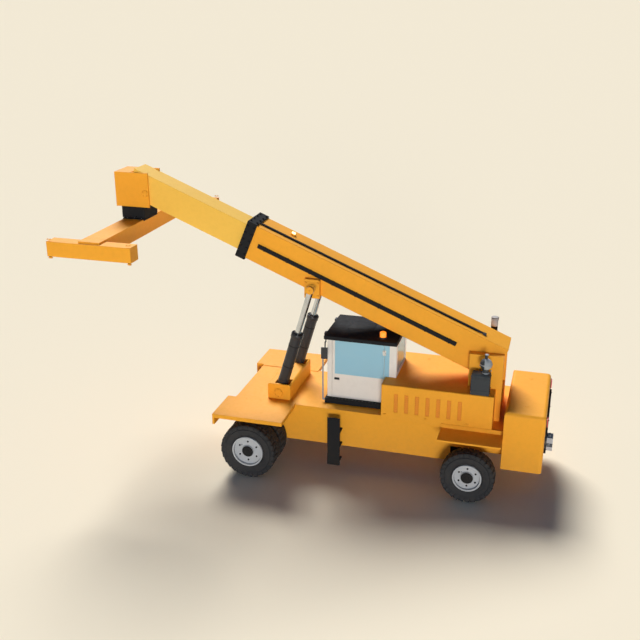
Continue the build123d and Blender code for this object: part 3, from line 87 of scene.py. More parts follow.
BOOM_TURN = Matrix.Rotation(-BOOM_ANGLE, 4, "Y")
HINGE_LEAF_REAR = -2.011  # rear edge of the hinge leaves on the cab's side


# ------------------------------------------------------------------ sizes and colours
class ReachStackerSizes(bpy.types.PropertyGroup):
    """Sizes of the added pieces, in metres"""

    tread_depth: bpy.props.FloatProperty(
        name="Tread Depth", description="Depth of the grooves between tread blocks",
        default=0.024, min=0.005, max=0.08, unit="LENGTH")
    tread_blocks: bpy.props.IntProperty(
        name="Tread Blocks", description="Blocks around each shoulder of a tyre",
        default=28, min=8, max=60)
    wheel_nuts: bpy.props.IntProperty(
        name="Wheel Nuts", description="Nuts around each rim", default=6, min=4, max=20)
    louvre_blades: bpy.props.IntProperty(
        name="Louvre Blades", description="Blades in each vent of the hood", default=9, min=3, max=20)
    gasket_width: bpy.props.FloatProperty(
        name="Gasket Width", description="Width of the rubber round each cab window",
        default=0.028, min=0.01, max=0.06, unit="LENGTH")
    bolt_across: bpy.props.FloatProperty(
        name="Bolt Across Flats", description="Width of the large bolt heads",
        default=0.046, min=0.01, max=0.1, unit="LENGTH")
    grille_bars: bpy.props.IntProperty(
        name="Grille Bars", description="Upright bars across the radiator grille",
        default=26, min=6, max=60)
    floor_size: bpy.props.FloatProperty(
        name="Floor Size", description="Half the side of the studio floor",
        default=2500.0, min=20.0, max=5000.0, unit="LENGTH")


class ReachStackerColours(bpy.types.PropertyGroup):
    """Paint and trim colours, as sRGB hex codes"""

    body: bpy.props.StringProperty(
        name="Body", description="Enamel of body and outer boom", default="FFAF2E")
    inner_boom: bpy.props.StringProperty(
        name="Inner Boom", description="Enamel of the inner boom", default="FFCB55")
    cab: bpy.props.StringProperty(
        name="Cab", description="Enamel of the cab", default="F1EAE0")
    trim: bpy.props.StringProperty(
        name="Trim", description="Dark enamel of roof, steps and rails", default="222325")
    rim: bpy.props.StringProperty(
        name="Rim", description="Enamel of the wheel rims", default="C4C7CA")
    floor: bpy.props.StringProperty(
        name="Floor", description="Studio floor", default="F0E4CB")


def sizes():
    return bpy.context.scene.reach_stacker_sizes


def colours():
    return bpy.context.scene.reach_stacker_colours


# ------------------------------------------------------------------ materials
def linear(code):
    """The linear colour, with full alpha, of an sRGB hex code."""
    parts = [int(code[i:i + 2], 16) / 255 for i in (0, 2, 4)]
    return (*(p / 12.92 if p <= 0.04045 else ((p + 0.055) / 1.055) ** 2.4 for p in parts), 1.0)


def add_node(tree, kind, inputs=None, **settings):
    """Adds a node with its settings; an input is given a value or linked to a socket."""
    node = tree.nodes.new(kind)
    for key, value in settings.items():
        setattr(node, key, value)
    for key, value in (inputs or {}).items():
        if isinstance(value, bpy.types.NodeSocket):
            tree.links.new(value, node.inputs[key])
        else:
            node.inputs[key].default_value = value
    return node


def new_material(name):
    """An empty material's tree, its shader and its object coordinates."""
    material = bpy.data.materials.new(name)
    material.use_nodes = True
    tree = material.node_tree
    tree.nodes.clear()
    output = add_node(tree, "ShaderNodeOutputMaterial")
    shader = add_node(tree, "ShaderNodeBsdfPrincipled")
    tree.links.new(shader.outputs["BSDF"], output.inputs["Surface"])
    place = add_node(tree, "ShaderNodeTexCoord").outputs["Object"]
    return material, tree, shader, place


def grains_per_metre(millimetres):
    """Noise scale whose grains are about this wide."""
    return 1000.0 / millimetres


def blend_colours(tree, share, first, second):
    """Mixes two colours, given as hex codes or sockets, by a share from 0 to 1."""
    mix = add_node(tree, "ShaderNodeMix", data_type="RGBA")
    for socket, value in ((mix.inputs[6], first), (mix.inputs[7], second)):
        if isinstance(value, str):
            socket.default_value = linear(value)
        else:
            tree.links.new(value, socket)
    if isinstance(share, float):
        mix.inputs[0].default_value = share
    else:
        tree.links.new(share, mix.inputs[0])
    return mix.outputs[2]


def spread(tree, value, low, high, out_low=0.0, out_high=1.0):
    """Maps a value from low..high to another range, clamped."""
    node = add_node(
        tree, "ShaderNodeMapRange", {"Value": value, "From Min": low, "From Max": high, "To Min": out_low,
        "To Max": out_high})
    return node.outputs["Result"]


def noise(tree, place, scale, detail=3.0, roughness=0.5):
    node = add_node(
        tree, "ShaderNodeTexNoise", {"Vector": place, "Scale": scale, "Detail": detail,
        "Roughness": roughness})
    return node.outputs["Fac"]


def bump(tree, shader, height, distance, strength=1.0, normal=None):
    """Adds relief of a real depth in metres to the shader."""
    inputs = {"Height": height, "Distance": distance, "Strength": strength}
    if normal is not None:
        inputs["Normal"] = normal
    node = add_node(tree, "ShaderNodeBump", inputs)
    tree.links.new(node.outputs["Normal"], shader.inputs["Normal"])


DUST = "B9A583"


def enamel(name, code, wear="8A5A22", coat=0.04, rough=0.55, dusty=0.14, shine=0.22):
    """Sprayed machine enamel: smooth with faint orange peel, chalked in patches and dusty low down."""
    material, tree, shader, place = new_material(name)
    # Chalked patches are about 1.4 m wide, finer mottling about 120 mm.
    patches = noise(tree, place, grains_per_metre(1400.0), 4.0, 0.6)
    mottle = noise(tree, place, grains_per_metre(120.0), 5.0, 0.65)
    paint = blend_colours(tree, spread(tree, patches, 0.35, 0.7, 0.0, 0.09), code, wear)
    paint = blend_colours(tree, spread(tree, mottle, 0.45, 0.75, 0.0, 0.07), paint, wear)
    height = add_node(tree, "ShaderNodeSeparateXYZ", {"Vector": place}).outputs["Z"]
    low_down = spread(tree, height, 0.3, 1.6, dusty, 0.0)
    grime = add_node(tree, "ShaderNodeMath", {0: low_down, 1: mottle}, operation="MULTIPLY")
    paint = blend_colours(tree, grime.outputs["Value"], paint, DUST)
    tree.links.new(paint, shader.inputs["Base Color"])
    gloss = spread(tree, mottle, 0.3, 0.8, rough - 0.07, rough + 0.12)
    tree.links.new(gloss, shader.inputs["Roughness"])
    shader.inputs["Specular IOR Level"].default_value = shine
    shader.inputs["Coat Weight"].default_value = coat
    shader.inputs["Coat Roughness"].default_value = 0.22
    # Real orange peel is about 3 mm across, too fine to show, so it is drawn 35 mm wide.
    peel = noise(tree, place, grains_per_metre(35.0), 2.0)
    soft = add_node(tree, "ShaderNodeBevel", {"Radius": 0.018}, samples=4)
    bump(tree, shader, peel, 0.0012, 0.35, soft.outputs["Normal"])
    return material


def mottled(name, width, detail, fineness, codes, share, gloss, inputs=None):
    """A material whose colour and roughness follow one noise, with patches about so many mm wide."""
    material, tree, shader, place = new_material(name)
    patches = noise(tree, place, grains_per_metre(width), detail, fineness)
    low, high, most = share
    paint = blend_colours(tree, spread(tree, patches, low, high, 0.0, most), *codes)
    tree.links.new(paint, shader.inputs["Base Color"])
    tree.links.new(spread(tree, patches, *gloss), shader.inputs["Roughness"])
    for key, value in (inputs or {}).items():
        shader.inputs[key].default_value = value
    return material, tree, shader, place


def tyre_rubber(name):
    """Vulcanised carbon-black rubber: matt, greyed by dust, fine moulded grain."""
    material, tree, shader, place = mottled(
        name, 260.0, 5.0, 0.65, ("2A2A2C", "5B564E"), (0.42, 0.78, 0.30), (0.3, 0.7, 0.62, 0.82),
        {"Specular IOR Level": 0.42})
    # Moulding grain of about 2 mm is drawn 22 mm wide so that it shows.
    grain = noise(tree, place, grains_per_metre(22.0), 4.0, 0.7)
    bump(tree, shader, grain, 0.0015, 0.5)
    return material


def cast_steel(name, code="5C5D60"):
    """Sand-cast steel under thin primer: pitted, rough, with rust blooms."""
    material, tree, shader, place = mottled(
        name, 180.0, 6.0, 0.7, (code, "6B5140"), (0.52, 0.78, 0.45), (0.3, 0.7, 0.45, 0.7),
        {"Metallic": 0.55})
    pits = noise(tree, place, grains_per_metre(14.0), 5.0, 0.75)
    bump(tree, shader, pits, 0.002, 0.6)
    return material


def hard_chrome(name):
    """Ground and plated cylinder rod: bright, with faint grinding rings and a film of oil."""
    material, tree, shader, place = mottled(
        name, 300.0, 4.0, 0.6, ("D2D5D8", "A9ADB1"), (0.4, 0.8, 0.5), (0.3, 0.8, 0.12, 0.28),
        {"Metallic": 1.0})
    rings = add_node(
        tree, "ShaderNodeTexWave", {"Vector": place, "Scale": grains_per_metre(60.0), "Distortion": 0.6},
        bands_direction="Z")
    bump(tree, shader, rings.outputs["Fac"], 0.0003, 0.3)
    return material


def window_glass(name):
    """Laminated cab glass with a blue sun tint, faintly smeared."""
    return mottled(
        name, 420.0, 4.0, 0.6, ("A8DCF0", "B4E0F0"), (0.35, 0.75, 0.35), (0.3, 0.8, 0.05, 0.16),
        {"Transmission Weight": 0.2, "IOR": 1.5})[0]


def silvered_glass(name):
    """Mirror glass: silvered behind, with a faint film of dust."""
    return mottled(
        name, 90.0, 4.0, 0.6, ("D9DEE2", "B7BCC0"), (0.4, 0.8, 0.3), (0.3, 0.8, 0.03, 0.12),
        {"Metallic": 1.0})[0]


def moulded_plastic(name, code, fade, rough=0.5):
    """Injection-moulded ABS or rubber trim with a fine leather-like grain."""
    material, tree, shader, place = mottled(
        name, 200.0, 4.0, 0.6, (code, fade), (0.4, 0.75, 0.3), (0.3, 0.75, rough - 0.08, rough + 0.1))
    grain = add_node(tree, "ShaderNodeTexVoronoi", {"Vector": place, "Scale": grains_per_metre(8.0)})
    bump(tree, shader, grain.outputs["Distance"], 0.0006, 0.4)
    return material


def tinted_lens(name, code, glow=0.0, glow_code="FFFFFF", clear=0.35):
    """Moulded polycarbonate lens with fine ribs inside."""
    material, tree, shader, place = new_material(name)
    ribs = add_node(
        tree, "ShaderNodeTexWave", {"Vector": place, "Scale": grains_per_metre(90.0)}, bands_direction="Z")
    paint = blend_colours(tree, spread(tree, ribs.outputs["Fac"], 0.0, 1.0, 0.0, 0.25), code, "FFFFFF")
    tree.links.new(paint, shader.inputs["Base Color"])
    tree.links.new(spread(tree, ribs.outputs["Fac"], 0.0, 1.0, 0.10, 0.2), shader.inputs["Roughness"])
    shader.inputs["Transmission Weight"].default_value = clear
    shader.inputs["IOR"].default_value = 1.58
    shader.inputs["Emission Color"].default_value = linear(glow_code)
    shader.inputs["Emission Strength"].default_value = glow
    bump(tree, shader, ribs.outputs["Fac"], 0.001, 0.4)
    return material


def woven_cloth(name, code, thread):
    """Hard-wearing woven seat cloth: two sets of threads, dull with a little sheen."""
    material, tree, shader, place = new_material(name)
    # Threads of about 1 mm are drawn 9 mm apart so that the weave shows through the glass.
    across = add_node(
        tree, "ShaderNodeTexWave", {"Vector": place, "Scale": grains_per_metre(56.0)}, bands_direction="Y")
    along = add_node(
        tree, "ShaderNodeTexWave", {"Vector": place, "Scale": grains_per_metre(56.0)},
        bands_direction="DIAGONAL")
    both = {0: across.outputs["Fac"], 1: along.outputs["Fac"]}
    weave = add_node(tree, "ShaderNodeMath", both, operation="MULTIPLY").outputs["Value"]
    worn = noise(tree, place, grains_per_metre(150.0), 4.0, 0.6)
    paint = blend_colours(tree, spread(tree, weave, 0.0, 1.0, 0.0, 0.4), code, thread)
    paint = blend_colours(tree, spread(tree, worn, 0.4, 0.8, 0.0, 0.25), paint, thread)
    tree.links.new(paint, shader.inputs["Base Color"])
    tree.links.new(spread(tree, worn, 0.3, 0.7, 0.8, 0.95), shader.inputs["Roughness"])
    shader.inputs["Sheen Weight"].default_value = 0.3
    shader.inputs["Sheen Roughness"].default_value = 0.5
    bump(tree, shader, weave, 0.001, 0.5)
    return material


def floor_paint(name, code):
    """Matt seamless studio floor."""
    material, _, shader, _ = new_material(name)
    shader.inputs["Base Color"].default_value = linear(code)
    shader.inputs["Roughness"].default_value = 1.0
    shader.inputs["Specular IOR Level"].default_value = 0.0
    return material


PAINT_ROOM = {
    # finish: how it is made
    "body enamel": lambda name: enamel(name, colours().body),
    "inner boom enamel": lambda name: enamel(name, colours().inner_boom, wear="A8792A"),
    "cab enamel": lambda name: enamel(name, colours().cab, wear="A9A296"),
    "satin trim enamel": lambda name: enamel(
        name, colours().trim, wear="33322F", coat=0.0, rough=0.68, dusty=0.05, shine=0.10),
    # Darker orange than the body enamel: painted shade for the hood's vent pockets.
    "vent painted shade enamel": lambda name: enamel(name, "F79B30", wear="8A5A22", coat=0.1, rough=0.5),
    "grey rail enamel": lambda name: enamel(name, "A6A8AA", wear="75777A", coat=0.2, rough=0.42),
    "tank enamel": lambda name: enamel(name, "3B3F42", wear="55585A", coat=0.0, rough=0.6, shine=0.2),
    "bowl enamel": lambda name: enamel(name, "A0A6AA", wear="A2A7AA", coat=0.0, rough=0.6, shine=0.25),
    "stack cap enamel": lambda name: enamel(name, "B9B2AC", wear="8E8A86", coat=0.0, rough=0.6, shine=0.2),
    "rim enamel": lambda name: enamel(name, colours().rim, wear="8B8A86", rough=0.45),
    "cylinder enamel": lambda name: enamel(name, "303033", wear="4B4946", coat=0.3, rough=0.4),
    "vulcanised rubber": lambda name: tyre_rubber(name),
    "cast steel": lambda name: cast_steel(name),
    "zinc-plated steel": lambda name: cast_steel(name, "9A9C9D"),
    "hard chrome": lambda name: hard_chrome(name),
    "tinted cab glass": lambda name: window_glass(name),
    "amber polycarbonate": lambda name: tinted_lens(name, "FF8F0A", 0.9, "FF8A10"),
    "red polycarbonate": lambda name: tinted_lens(name, "D8281C", 0.25, "E02818"),
    "warm work light lens": lambda name: tinted_lens(name, "FFF0CC", 2.2, "FFE3A8"),
    "smoked lamp lens": lambda name: tinted_lens(name, "3A3B3D", 0.0, "FFFFFF", 0.3),
    "clear lamp lens": lambda name: tinted_lens(name, "E6E9EA", 0.0, "FFFFFF", 0.6),
    "black moulded plastic": lambda name: moulded_plastic(name, "2C2D2F", "4A4947"),
    "grey moulded plastic": lambda name: moulded_plastic(name, "7D8489", "9BA0A3", 0.4),
    "window gasket rubber": lambda name: moulded_plastic(name, "EFEAE2", "CFC9BE", 0.55),
    "wear pad nylon": lambda name: moulded_plastic(name, "D8D2C2", "B5AE9C", 0.45),
    "hose rubber": lambda name: moulded_plastic(name, "232325", "3D3C3A", 0.6),
    "woven seat cloth": lambda name: woven_cloth(name, "35373C", "55585F"),
    "silvered glass": lambda name: silvered_glass(name),
    "studio floor": lambda name: floor_paint(name, colours().floor),
}


def finish(name):
    """The material of a finish, made the first time it is asked for."""
    return bpy.data.materials.get(name) or PAINT_ROOM[name](name)


# ------------------------------------------------------------------ shapes
def upright(direction):
    """Turns +Z to a direction."""
    return Vector(direction).to_track_quat("Z", "Y").to_matrix().to_4x4()


def add_block(bm, low, high, edge=0.0, turn=None):
    """A block between two corners, with rounded edges; a turn is applied about its centre."""
    low, high = Vector(low), Vector(high)
    size = high - low
    place = Matrix.Translation((low + high) / 2)
    if turn is not None:
        place = place @ turn
    made = bmesh.ops.create_cube(bm, size=1.0, matrix=place @ Matrix.Diagonal((*size, 1.0)))
    if edge > 0:
        edges = list({e for v in made["verts"] for e in v.link_edges})
        bmesh.ops.bevel(
            bm, geom=edges, offset=edge, segments=2, affect="EDGES", profile=0.5, material=-1,
            clamp_overlap=True)


def add_box(bm, place, back, edge=0.0, turn=None, ahead=None):
    """A block about a place, given how far it reaches back and, if that differs, ahead."""
    place, back, ahead = Vector(place), Vector(back), Vector(ahead or back)
    add_block(bm, place - back, place + ahead, edge, turn)


def span(side, inner, outer):
    """Two distances from the middle plane, as y values on one side, lowest first."""
    return sorted((side * inner, side * outer))


def spokes(count, shift=0.5, first=FORWARD, second=UP):
    """Unit directions at even steps round a circle, shifted by a share of a step."""
    for i in range(count):
        angle = FULL_TURN * (i + shift) / count
        yield first * math.cos(angle) + second * math.sin(angle)


def turned_by(degrees, axis):
    return Matrix.Rotation(math.radians(degrees), 4, axis)


def add_band(bm, centre, axis, radii, ends, steps=48):
    """A plain ring between two radii and two distances along its axis."""
    (inner, outer), (low, high) = radii, ends
    add_turned(bm, [(inner, low), (outer, low), (outer, high), (inner, high)], centre, axis, steps)


def add_cap(bm, seat, axis, radius, heights, bevel, crown, steps=48):
    """A round cap: its foot, edge and shoulder heights, then how far it rises at the middle."""
    foot, edge, shoulder = heights
    add_turned(
        bm, [(0.0, foot), (radius, foot), (radius, edge), (radius - bevel, shoulder), (0.0, crown)], seat,
        axis, steps)


def boom_point(along, across, above):
    """A point on the boom, measured from its pivot along it, across and square to it."""
    return PIVOT + BOOM_ALONG * along + BOOM_UP * above + Vector((0, across, 0))


def add_boom_block(bm, along, across, above, edge=0.0):
    """A block lined up with the boom, between two distances each way."""
    middle = boom_point(sum(along) / 2, sum(across) / 2, sum(above) / 2)
    half = Vector((along[1] - along[0], across[1] - across[0], above[1] - above[0])) / 2
    add_box(bm, middle, half, edge, BOOM_TURN)


def add_rod(bm, start, end, radius, end_radius=None, segments=28):
    """A round bar, or a cone, between two points."""
    start, end = Vector(start), Vector(end)
    along = end - start
    bmesh.ops.create_cone(
        bm, cap_ends=True, cap_tris=False, segments=segments, radius1=radius,
        radius2=radius if end_radius is None else end_radius, depth=along.length,
        matrix=Matrix.Translation((start + end) / 2) @ upright(along))


def add_ball(bm, centre, radius):
    bmesh.ops.create_uvsphere(
        bm, u_segments=32, v_segments=18, radius=radius, matrix=Matrix.Translation(centre))


def add_bolt(bm, seat, direction, across=None):
    """A washer and hexagon head standing on a face."""
    across = across or sizes().bolt_across
    seat, direction = Vector(seat), Vector(direction).normalized()
    add_rod(bm, seat, seat + direction * across * 0.12, across * 0.72, segments=20)
    add_rod(
        bm, seat + direction * across * 0.1, seat + direction * across * 0.62, across * 0.58, segments=6)
    add_rod(
        bm, seat + direction * across * 0.6, seat + direction * across * 0.7, across * 0.5, across * 0.4,
        segments=6)


def add_turned(bm, profile, centre, axis, steps=48):
    """A turned shape: a closed outline of (radius, distance along the axis) swept once round."""
    frame_turn = Matrix.Translation(centre) @ upright(axis)
    verts = [bm.verts.new(frame_turn @ Vector((r, 0.0, a))) for r, a in profile]
    edges = [bm.edges.new((verts[i], verts[(i + 1) % len(verts)])) for i in range(len(verts))]
    bmesh.ops.spin(
        bm, geom=verts + edges, cent=centre, axis=Vector(axis).normalized(), dvec=CENTRE, angle=FULL_TURN,
        steps=steps, use_merge=True, use_normal_flip=False, use_duplicate=False)


def add_tube_ring(bm, centre, axis, radius, thickness, steps=48, sides=12):
    """A round wire bent into a full ring."""
    outline = [
        (radius + thickness * math.cos(FULL_TURN * i / sides), thickness * math.sin(FULL_TURN * i / sides))
        for i in range(sides)
    ]
    add_turned(bm, outline, centre, axis, steps)


def finished_piece(bm, name, material, body="chassis", smooth_below=CREASE):
    """Closes a mesh, gives it a finish and fixes it to a moving body."""
    bmesh.ops.remove_doubles(bm, verts=bm.verts, dist=1e-6)
    bmesh.ops.recalc_face_normals(bm, faces=bm.faces)
    if smooth_below is not None:
        for face in bm.faces:
            face.smooth = True
        for edge in bm.edges:
            if len(edge.link_faces) == 2 and edge.calc_face_angle(0.0) > math.radians(smooth_below):
                edge.smooth = False
    mesh = bpy.data.meshes.new(name)
    bm.to_mesh(mesh)
    bm.free()
    piece = bpy.data.objects.new(name, mesh)
    bpy.context.collection.objects.link(piece)
    mesh.materials.append(finish(material))
    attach(piece, body)
    return piece


def corners(node):
    """A CAD node's lowest and highest corners, as vectors."""
    low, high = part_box(node)
    return Vector(low), Vector(high)


def repeat_round(bm, centre, axis, count):
    """Repeats everything in a mesh at even steps round an axis."""
    bmesh.ops.spin(
        bm, geom=bm.verts[:] + bm.edges[:] + bm.faces[:], cent=centre, axis=axis, dvec=CENTRE,
        angle=FULL_TURN * (count - 1) / count, steps=count - 1, use_duplicate=True)


def wheel_box(node):
    """A wheel node's centre and radius, and its faces' y values."""
    low, high = corners(node)
    return (low + high) / 2, (high.z - low.z) / 2, low.y, high.y


def add_surround(bm, low, high, width, facing):
    """A flat border round a rectangular opening; facing is the number of the axis that it faces."""
    across, up = [axis for axis in range(3) if axis != facing]
    for axis in (across, up):
        for edge in (low[axis] - width, high[axis]):
            start, end = Vector(low), Vector(high)
            start[axis], end[axis] = edge, edge + width
            if axis == across:
                start[up] -= width
                end[up] += width
            add_block(bm, start, end, width * 0.2)


def add_hose(bm, points, radius, sides=14):
    """A hose bent smoothly through its points."""
    curve = bpy.data.curves.new("hose_route", "CURVE")
    curve.dimensions = "3D"
    curve.bevel_depth = radius
    curve.bevel_resolution = sides // 4
    curve.use_fill_caps = True
    curve.resolution_u = 10
    spline = curve.splines.new("NURBS")
    spline.points.add(len(points) - 1)
    for place, point in zip(spline.points, points):
        place.co = (*point, 1.0)
    spline.order_u = 3
    spline.use_endpoint_u = True
    route = bpy.data.objects.new("hose_route", curve)
    mesh = bpy.data.meshes.new_from_object(route)
    bm.from_mesh(mesh)
    for data, store in ((route, bpy.data.objects), (curve, bpy.data.curves), (mesh, bpy.data.meshes)):
        store.remove(data)


# ------------------------------------------------------------------ the pieces
CAD_FINISHES = {
    "body enamel": (
        "chassis_frame", "fenders", "counterweight", "engine_hood", "boom_tower", "cylinder_saddle",
        "outer_boom", "boom_brackets", "boom_head", "spreader_beam", "end_beam_left", "end_beam_right"),
    "inner boom enamel": ("inner_boom",),
    "cab enamel": ("cab_shell", "cab_door_left"),
    "satin trim enamel": (
        "front_axle", "rear_axle", "rear_grille", "cab_floor", "cab_roof", "boarding_steps",
        "boom_collar", "hose_rails", "rotator_housing", "slew_table", "exhaust_stack"),
    "tank enamel": ("air_cleaner",),
    "rim enamel": ("front_rim_left", "front_rim_right", "rear_rim_left", "rear_rim_right", "tow_hitch"),
    "cast steel": ("engine_block", "knuckle_left", "knuckle_right"),
    "grey rail enamel": ("handrails",),
    "cylinder enamel": ("lift_barrel_left", "lift_barrel_right"),
    "hard chrome": ("lift_rod_left", "lift_rod_right"),
    "tinted cab glass": ("cab_glass", "door_glass_left"),
    "black moulded plastic": ("cab_mirrors", "steering_console"),
    "amber polycarbonate": ("beacon",),
    "woven seat cloth": ("operator_seat",),
    "vulcanised rubber": ("front_tyre_left", "front_tyre_right", "rear_tyre_left", "rear_tyre_right"),
}


class ReachStackerOperator:
    """What every operator here shares: it runs on any scene and can be undone"""

    bl_options = {"REGISTER", "UNDO"}


class REACHSTACKER_OT_paint_frame(ReachStackerOperator, bpy.types.Operator):
    """Gives every CAD piece the finish of the real one"""

    bl_idname = "reach_stacker.paint_frame"
    bl_label = "Paint Frame"

    def execute(self, context):
        for name, nodes in CAD_FINISHES.items():
            for node in nodes:
                for slot in frame["nodes"][node].material_slots:
                    slot.material = finish(name)
        return {"FINISHED"}


class REACHSTACKER_OT_build_tyres(ReachStackerOperator, bpy.types.Operator):
    """Builds the treaded tyres that stand in for the plain ones"""

    bl_idname = "reach_stacker.build_tyres"
    bl_label = "Build Tyres"

    # Axle: tyres at each end, gap between two, rim radius.
    AXLES = {"front": (2, 0.085, 0.4355), "rear": (1, 0.0, 0.3785)}
    CREST_GAP = 0.007
    # Rows of blocks: from and to, in tyre widths from the middle; length, in pitches; drop at the crest.
    BLOCK_ROWS = ((0.015, 0.215, 0.80, 0.0), (0.232, 0.462, 0.86, 0.007))
    SLANT, LEAN = 9, -11     # degrees that the blocks turn and the shoulder lugs lean

    def execute(self, context):
        for end, (count, gap, rim) in self.AXLES.items():
            for name, _ in SIDES:
                node = end + "_tyre_" + name
                centre, radius, near, far = wheel_box(node)
                width = (far - near - (count - 1) * gap) / count
                bm = bmesh.new()
                for i in range(count):
                    middle = Vector((centre.x, near + width / 2 + i * (width + gap), centre.z))
                    self.add_tread(bm, middle, radius, width)
                repeat_round(bm, centre, ACROSS, sizes().tread_blocks)
                for i in range(count):
                    middle = Vector((centre.x, near + width / 2 + i * (width + gap), centre.z))
                    self.add_carcass(bm, middle, radius, width, rim)
                piece = finished_piece(
                    bm, node + "_treaded", "vulcanised rubber", end + "_wheel_" + name,
                    smooth_below=28)
                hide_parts(node)
        return {"FINISHED"}

    def add_tread(self, bm, middle, radius, width):
        """One pitch of the pattern: two rows of slanted blocks, each with a lug over its shoulder."""
        pitch = FULL_TURN * radius / sizes().tread_blocks
        depth = sizes().tread_depth
        crest = radius - self.CREST_GAP
        for way in (-1, 1):
            shift = way * pitch * 0.25
            slant = turned_by(way * self.SLANT, "Z")
            for inner, outer, share, drop in self.BLOCK_ROWS:
                add_block(
                    bm, (middle.x + shift - pitch * share / 2,
                    middle.y + min(way * inner, way * outer) * width, middle.z + crest - depth - 0.02),
                    (middle.x + shift + pitch * share / 2, middle.y + max(way * inner, way * outer) * width,
                    middle.z + crest - drop), 0.006, slant)
            lug_y = (way * (width / 2 - 0.052), way * (width / 2 - 0.012))
            add_block(
                bm, (middle.x + shift - pitch * 0.43, middle.y + min(lug_y), middle.z + crest - 0.135),
                (middle.x + shift + pitch * 0.43, middle.y + max(lug_y), middle.z + crest - 0.022), 0.008,
                turned_by(way * self.LEAN, "X"))

    def add_carcass(self, bm, middle, radius, width, rim):
        half = width / 2
        wall = radius - rim
        base = radius - self.CREST_GAP - sizes().tread_depth
        outline = [
            # radius, distance from the middle of the tyre
            (rim, half - 0.040), (rim + 0.018, half - 0.026), (rim + 0.034, half - 0.014),
            (rim + 0.046, half - 0.012), (rim + 0.054, half - 0.020), (rim + 0.064, half - 0.020),
            (rim + wall * 0.32, half - 0.006), (rim + wall * 0.46, half - 0.001),
            (rim + wall * 0.56, half - 0.003), (rim + wall * 0.575, half + 0.0),
            (rim + wall * 0.600, half + 0.0), (rim + wall * 0.615, half - 0.008),
            (radius - 0.115, half - 0.026), (radius - 0.070, half - 0.046), (base - 0.006, half - 0.072),
            (base, half - 0.12), (base, 0.0),
        ]
        outline += [(r, -a) for r, a in reversed(outline[:-1])]
        add_turned(bm, outline, middle, ACROSS, 72)


class REACHSTACKER_OT_build_wheel_trim(ReachStackerOperator, bpy.types.Operator):
    """Adds hub caps, nuts, lock rings and valves to the four rims"""

    bl_idname = "reach_stacker.build_wheel_trim"
    bl_label = "Build Wheel Trim"

    # Axle: how far the rim's disc is sunk, rim radius, hub radius, how far the hub stands proud of the disc.
    AXLES = {"front": (0.075, 0.435, 0.165, 0.045), "rear": (0.075, 0.378, 0.165, 0.045)}

    def execute(self, context):
        for end, (sunk, rim, hub, proud) in self.AXLES.items():
            for name, side in SIDES:
                centre, _, near, far = wheel_box(end + "_rim_" + name)
                face = far if side > 0 else near
                outward = Vector((0, side, 0))
                body = end + "_wheel_" + name
                disc = Vector((centre.x, face - side * sunk, centre.z))
                bm = bmesh.new()
                cap = disc + outward * proud
                add_turned(
                    bm, [(0.0, -0.004), (hub - 0.008, -0.004), (hub - 0.006, 0.006), (hub - 0.018, 0.014),
                    (hub - 0.06, 0.018), (0.058, 0.020), (0.052, 0.027), (0.0, 0.028)], cap, outward, 40)
                for spoke in spokes(8):
                    seat = cap + spoke * (hub - 0.038) + outward * 0.015
                    add_bolt(bm, seat, outward, 0.016)
                finished_piece(bm, end + "_hub_cap_" + name, "satin trim enamel", body)
                bm = bmesh.new()
                ring = (hub + rim - 0.042) / 2 - 0.004
                for spoke in spokes(sizes().wheel_nuts):
                    seat = disc + spoke * ring
                    add_bolt(bm, seat, outward, 0.036)
                    add_rod(bm, seat, seat + outward * 0.032, 0.010, segments=12)
                finished_piece(bm, end + "_wheel_nuts_" + name, "satin trim enamel", body)
                bm = bmesh.new()
                lip = Vector((centre.x, face, centre.z))
                add_turned(
                    bm, [(rim - 0.044, -0.030), (rim - 0.044, -0.004), (rim - 0.040, -GAP),
                    (rim - 0.030, -GAP), (rim - 0.026, -0.004), (rim - 0.026, -0.030)], lip, outward, 56)
                valve = disc + Vector((0.17, 0, 0.17)) * (rim / 0.435)
                add_rod(bm, valve, valve + outward * 0.05, 0.008, segments=12)
                add_rod(bm, valve + outward * 0.048, valve + outward * 0.062, 0.011, segments=12)
                finished_piece(bm, end + "_lock_ring_" + name, "zinc-plated steel", body)
        return {"FINISHED"}


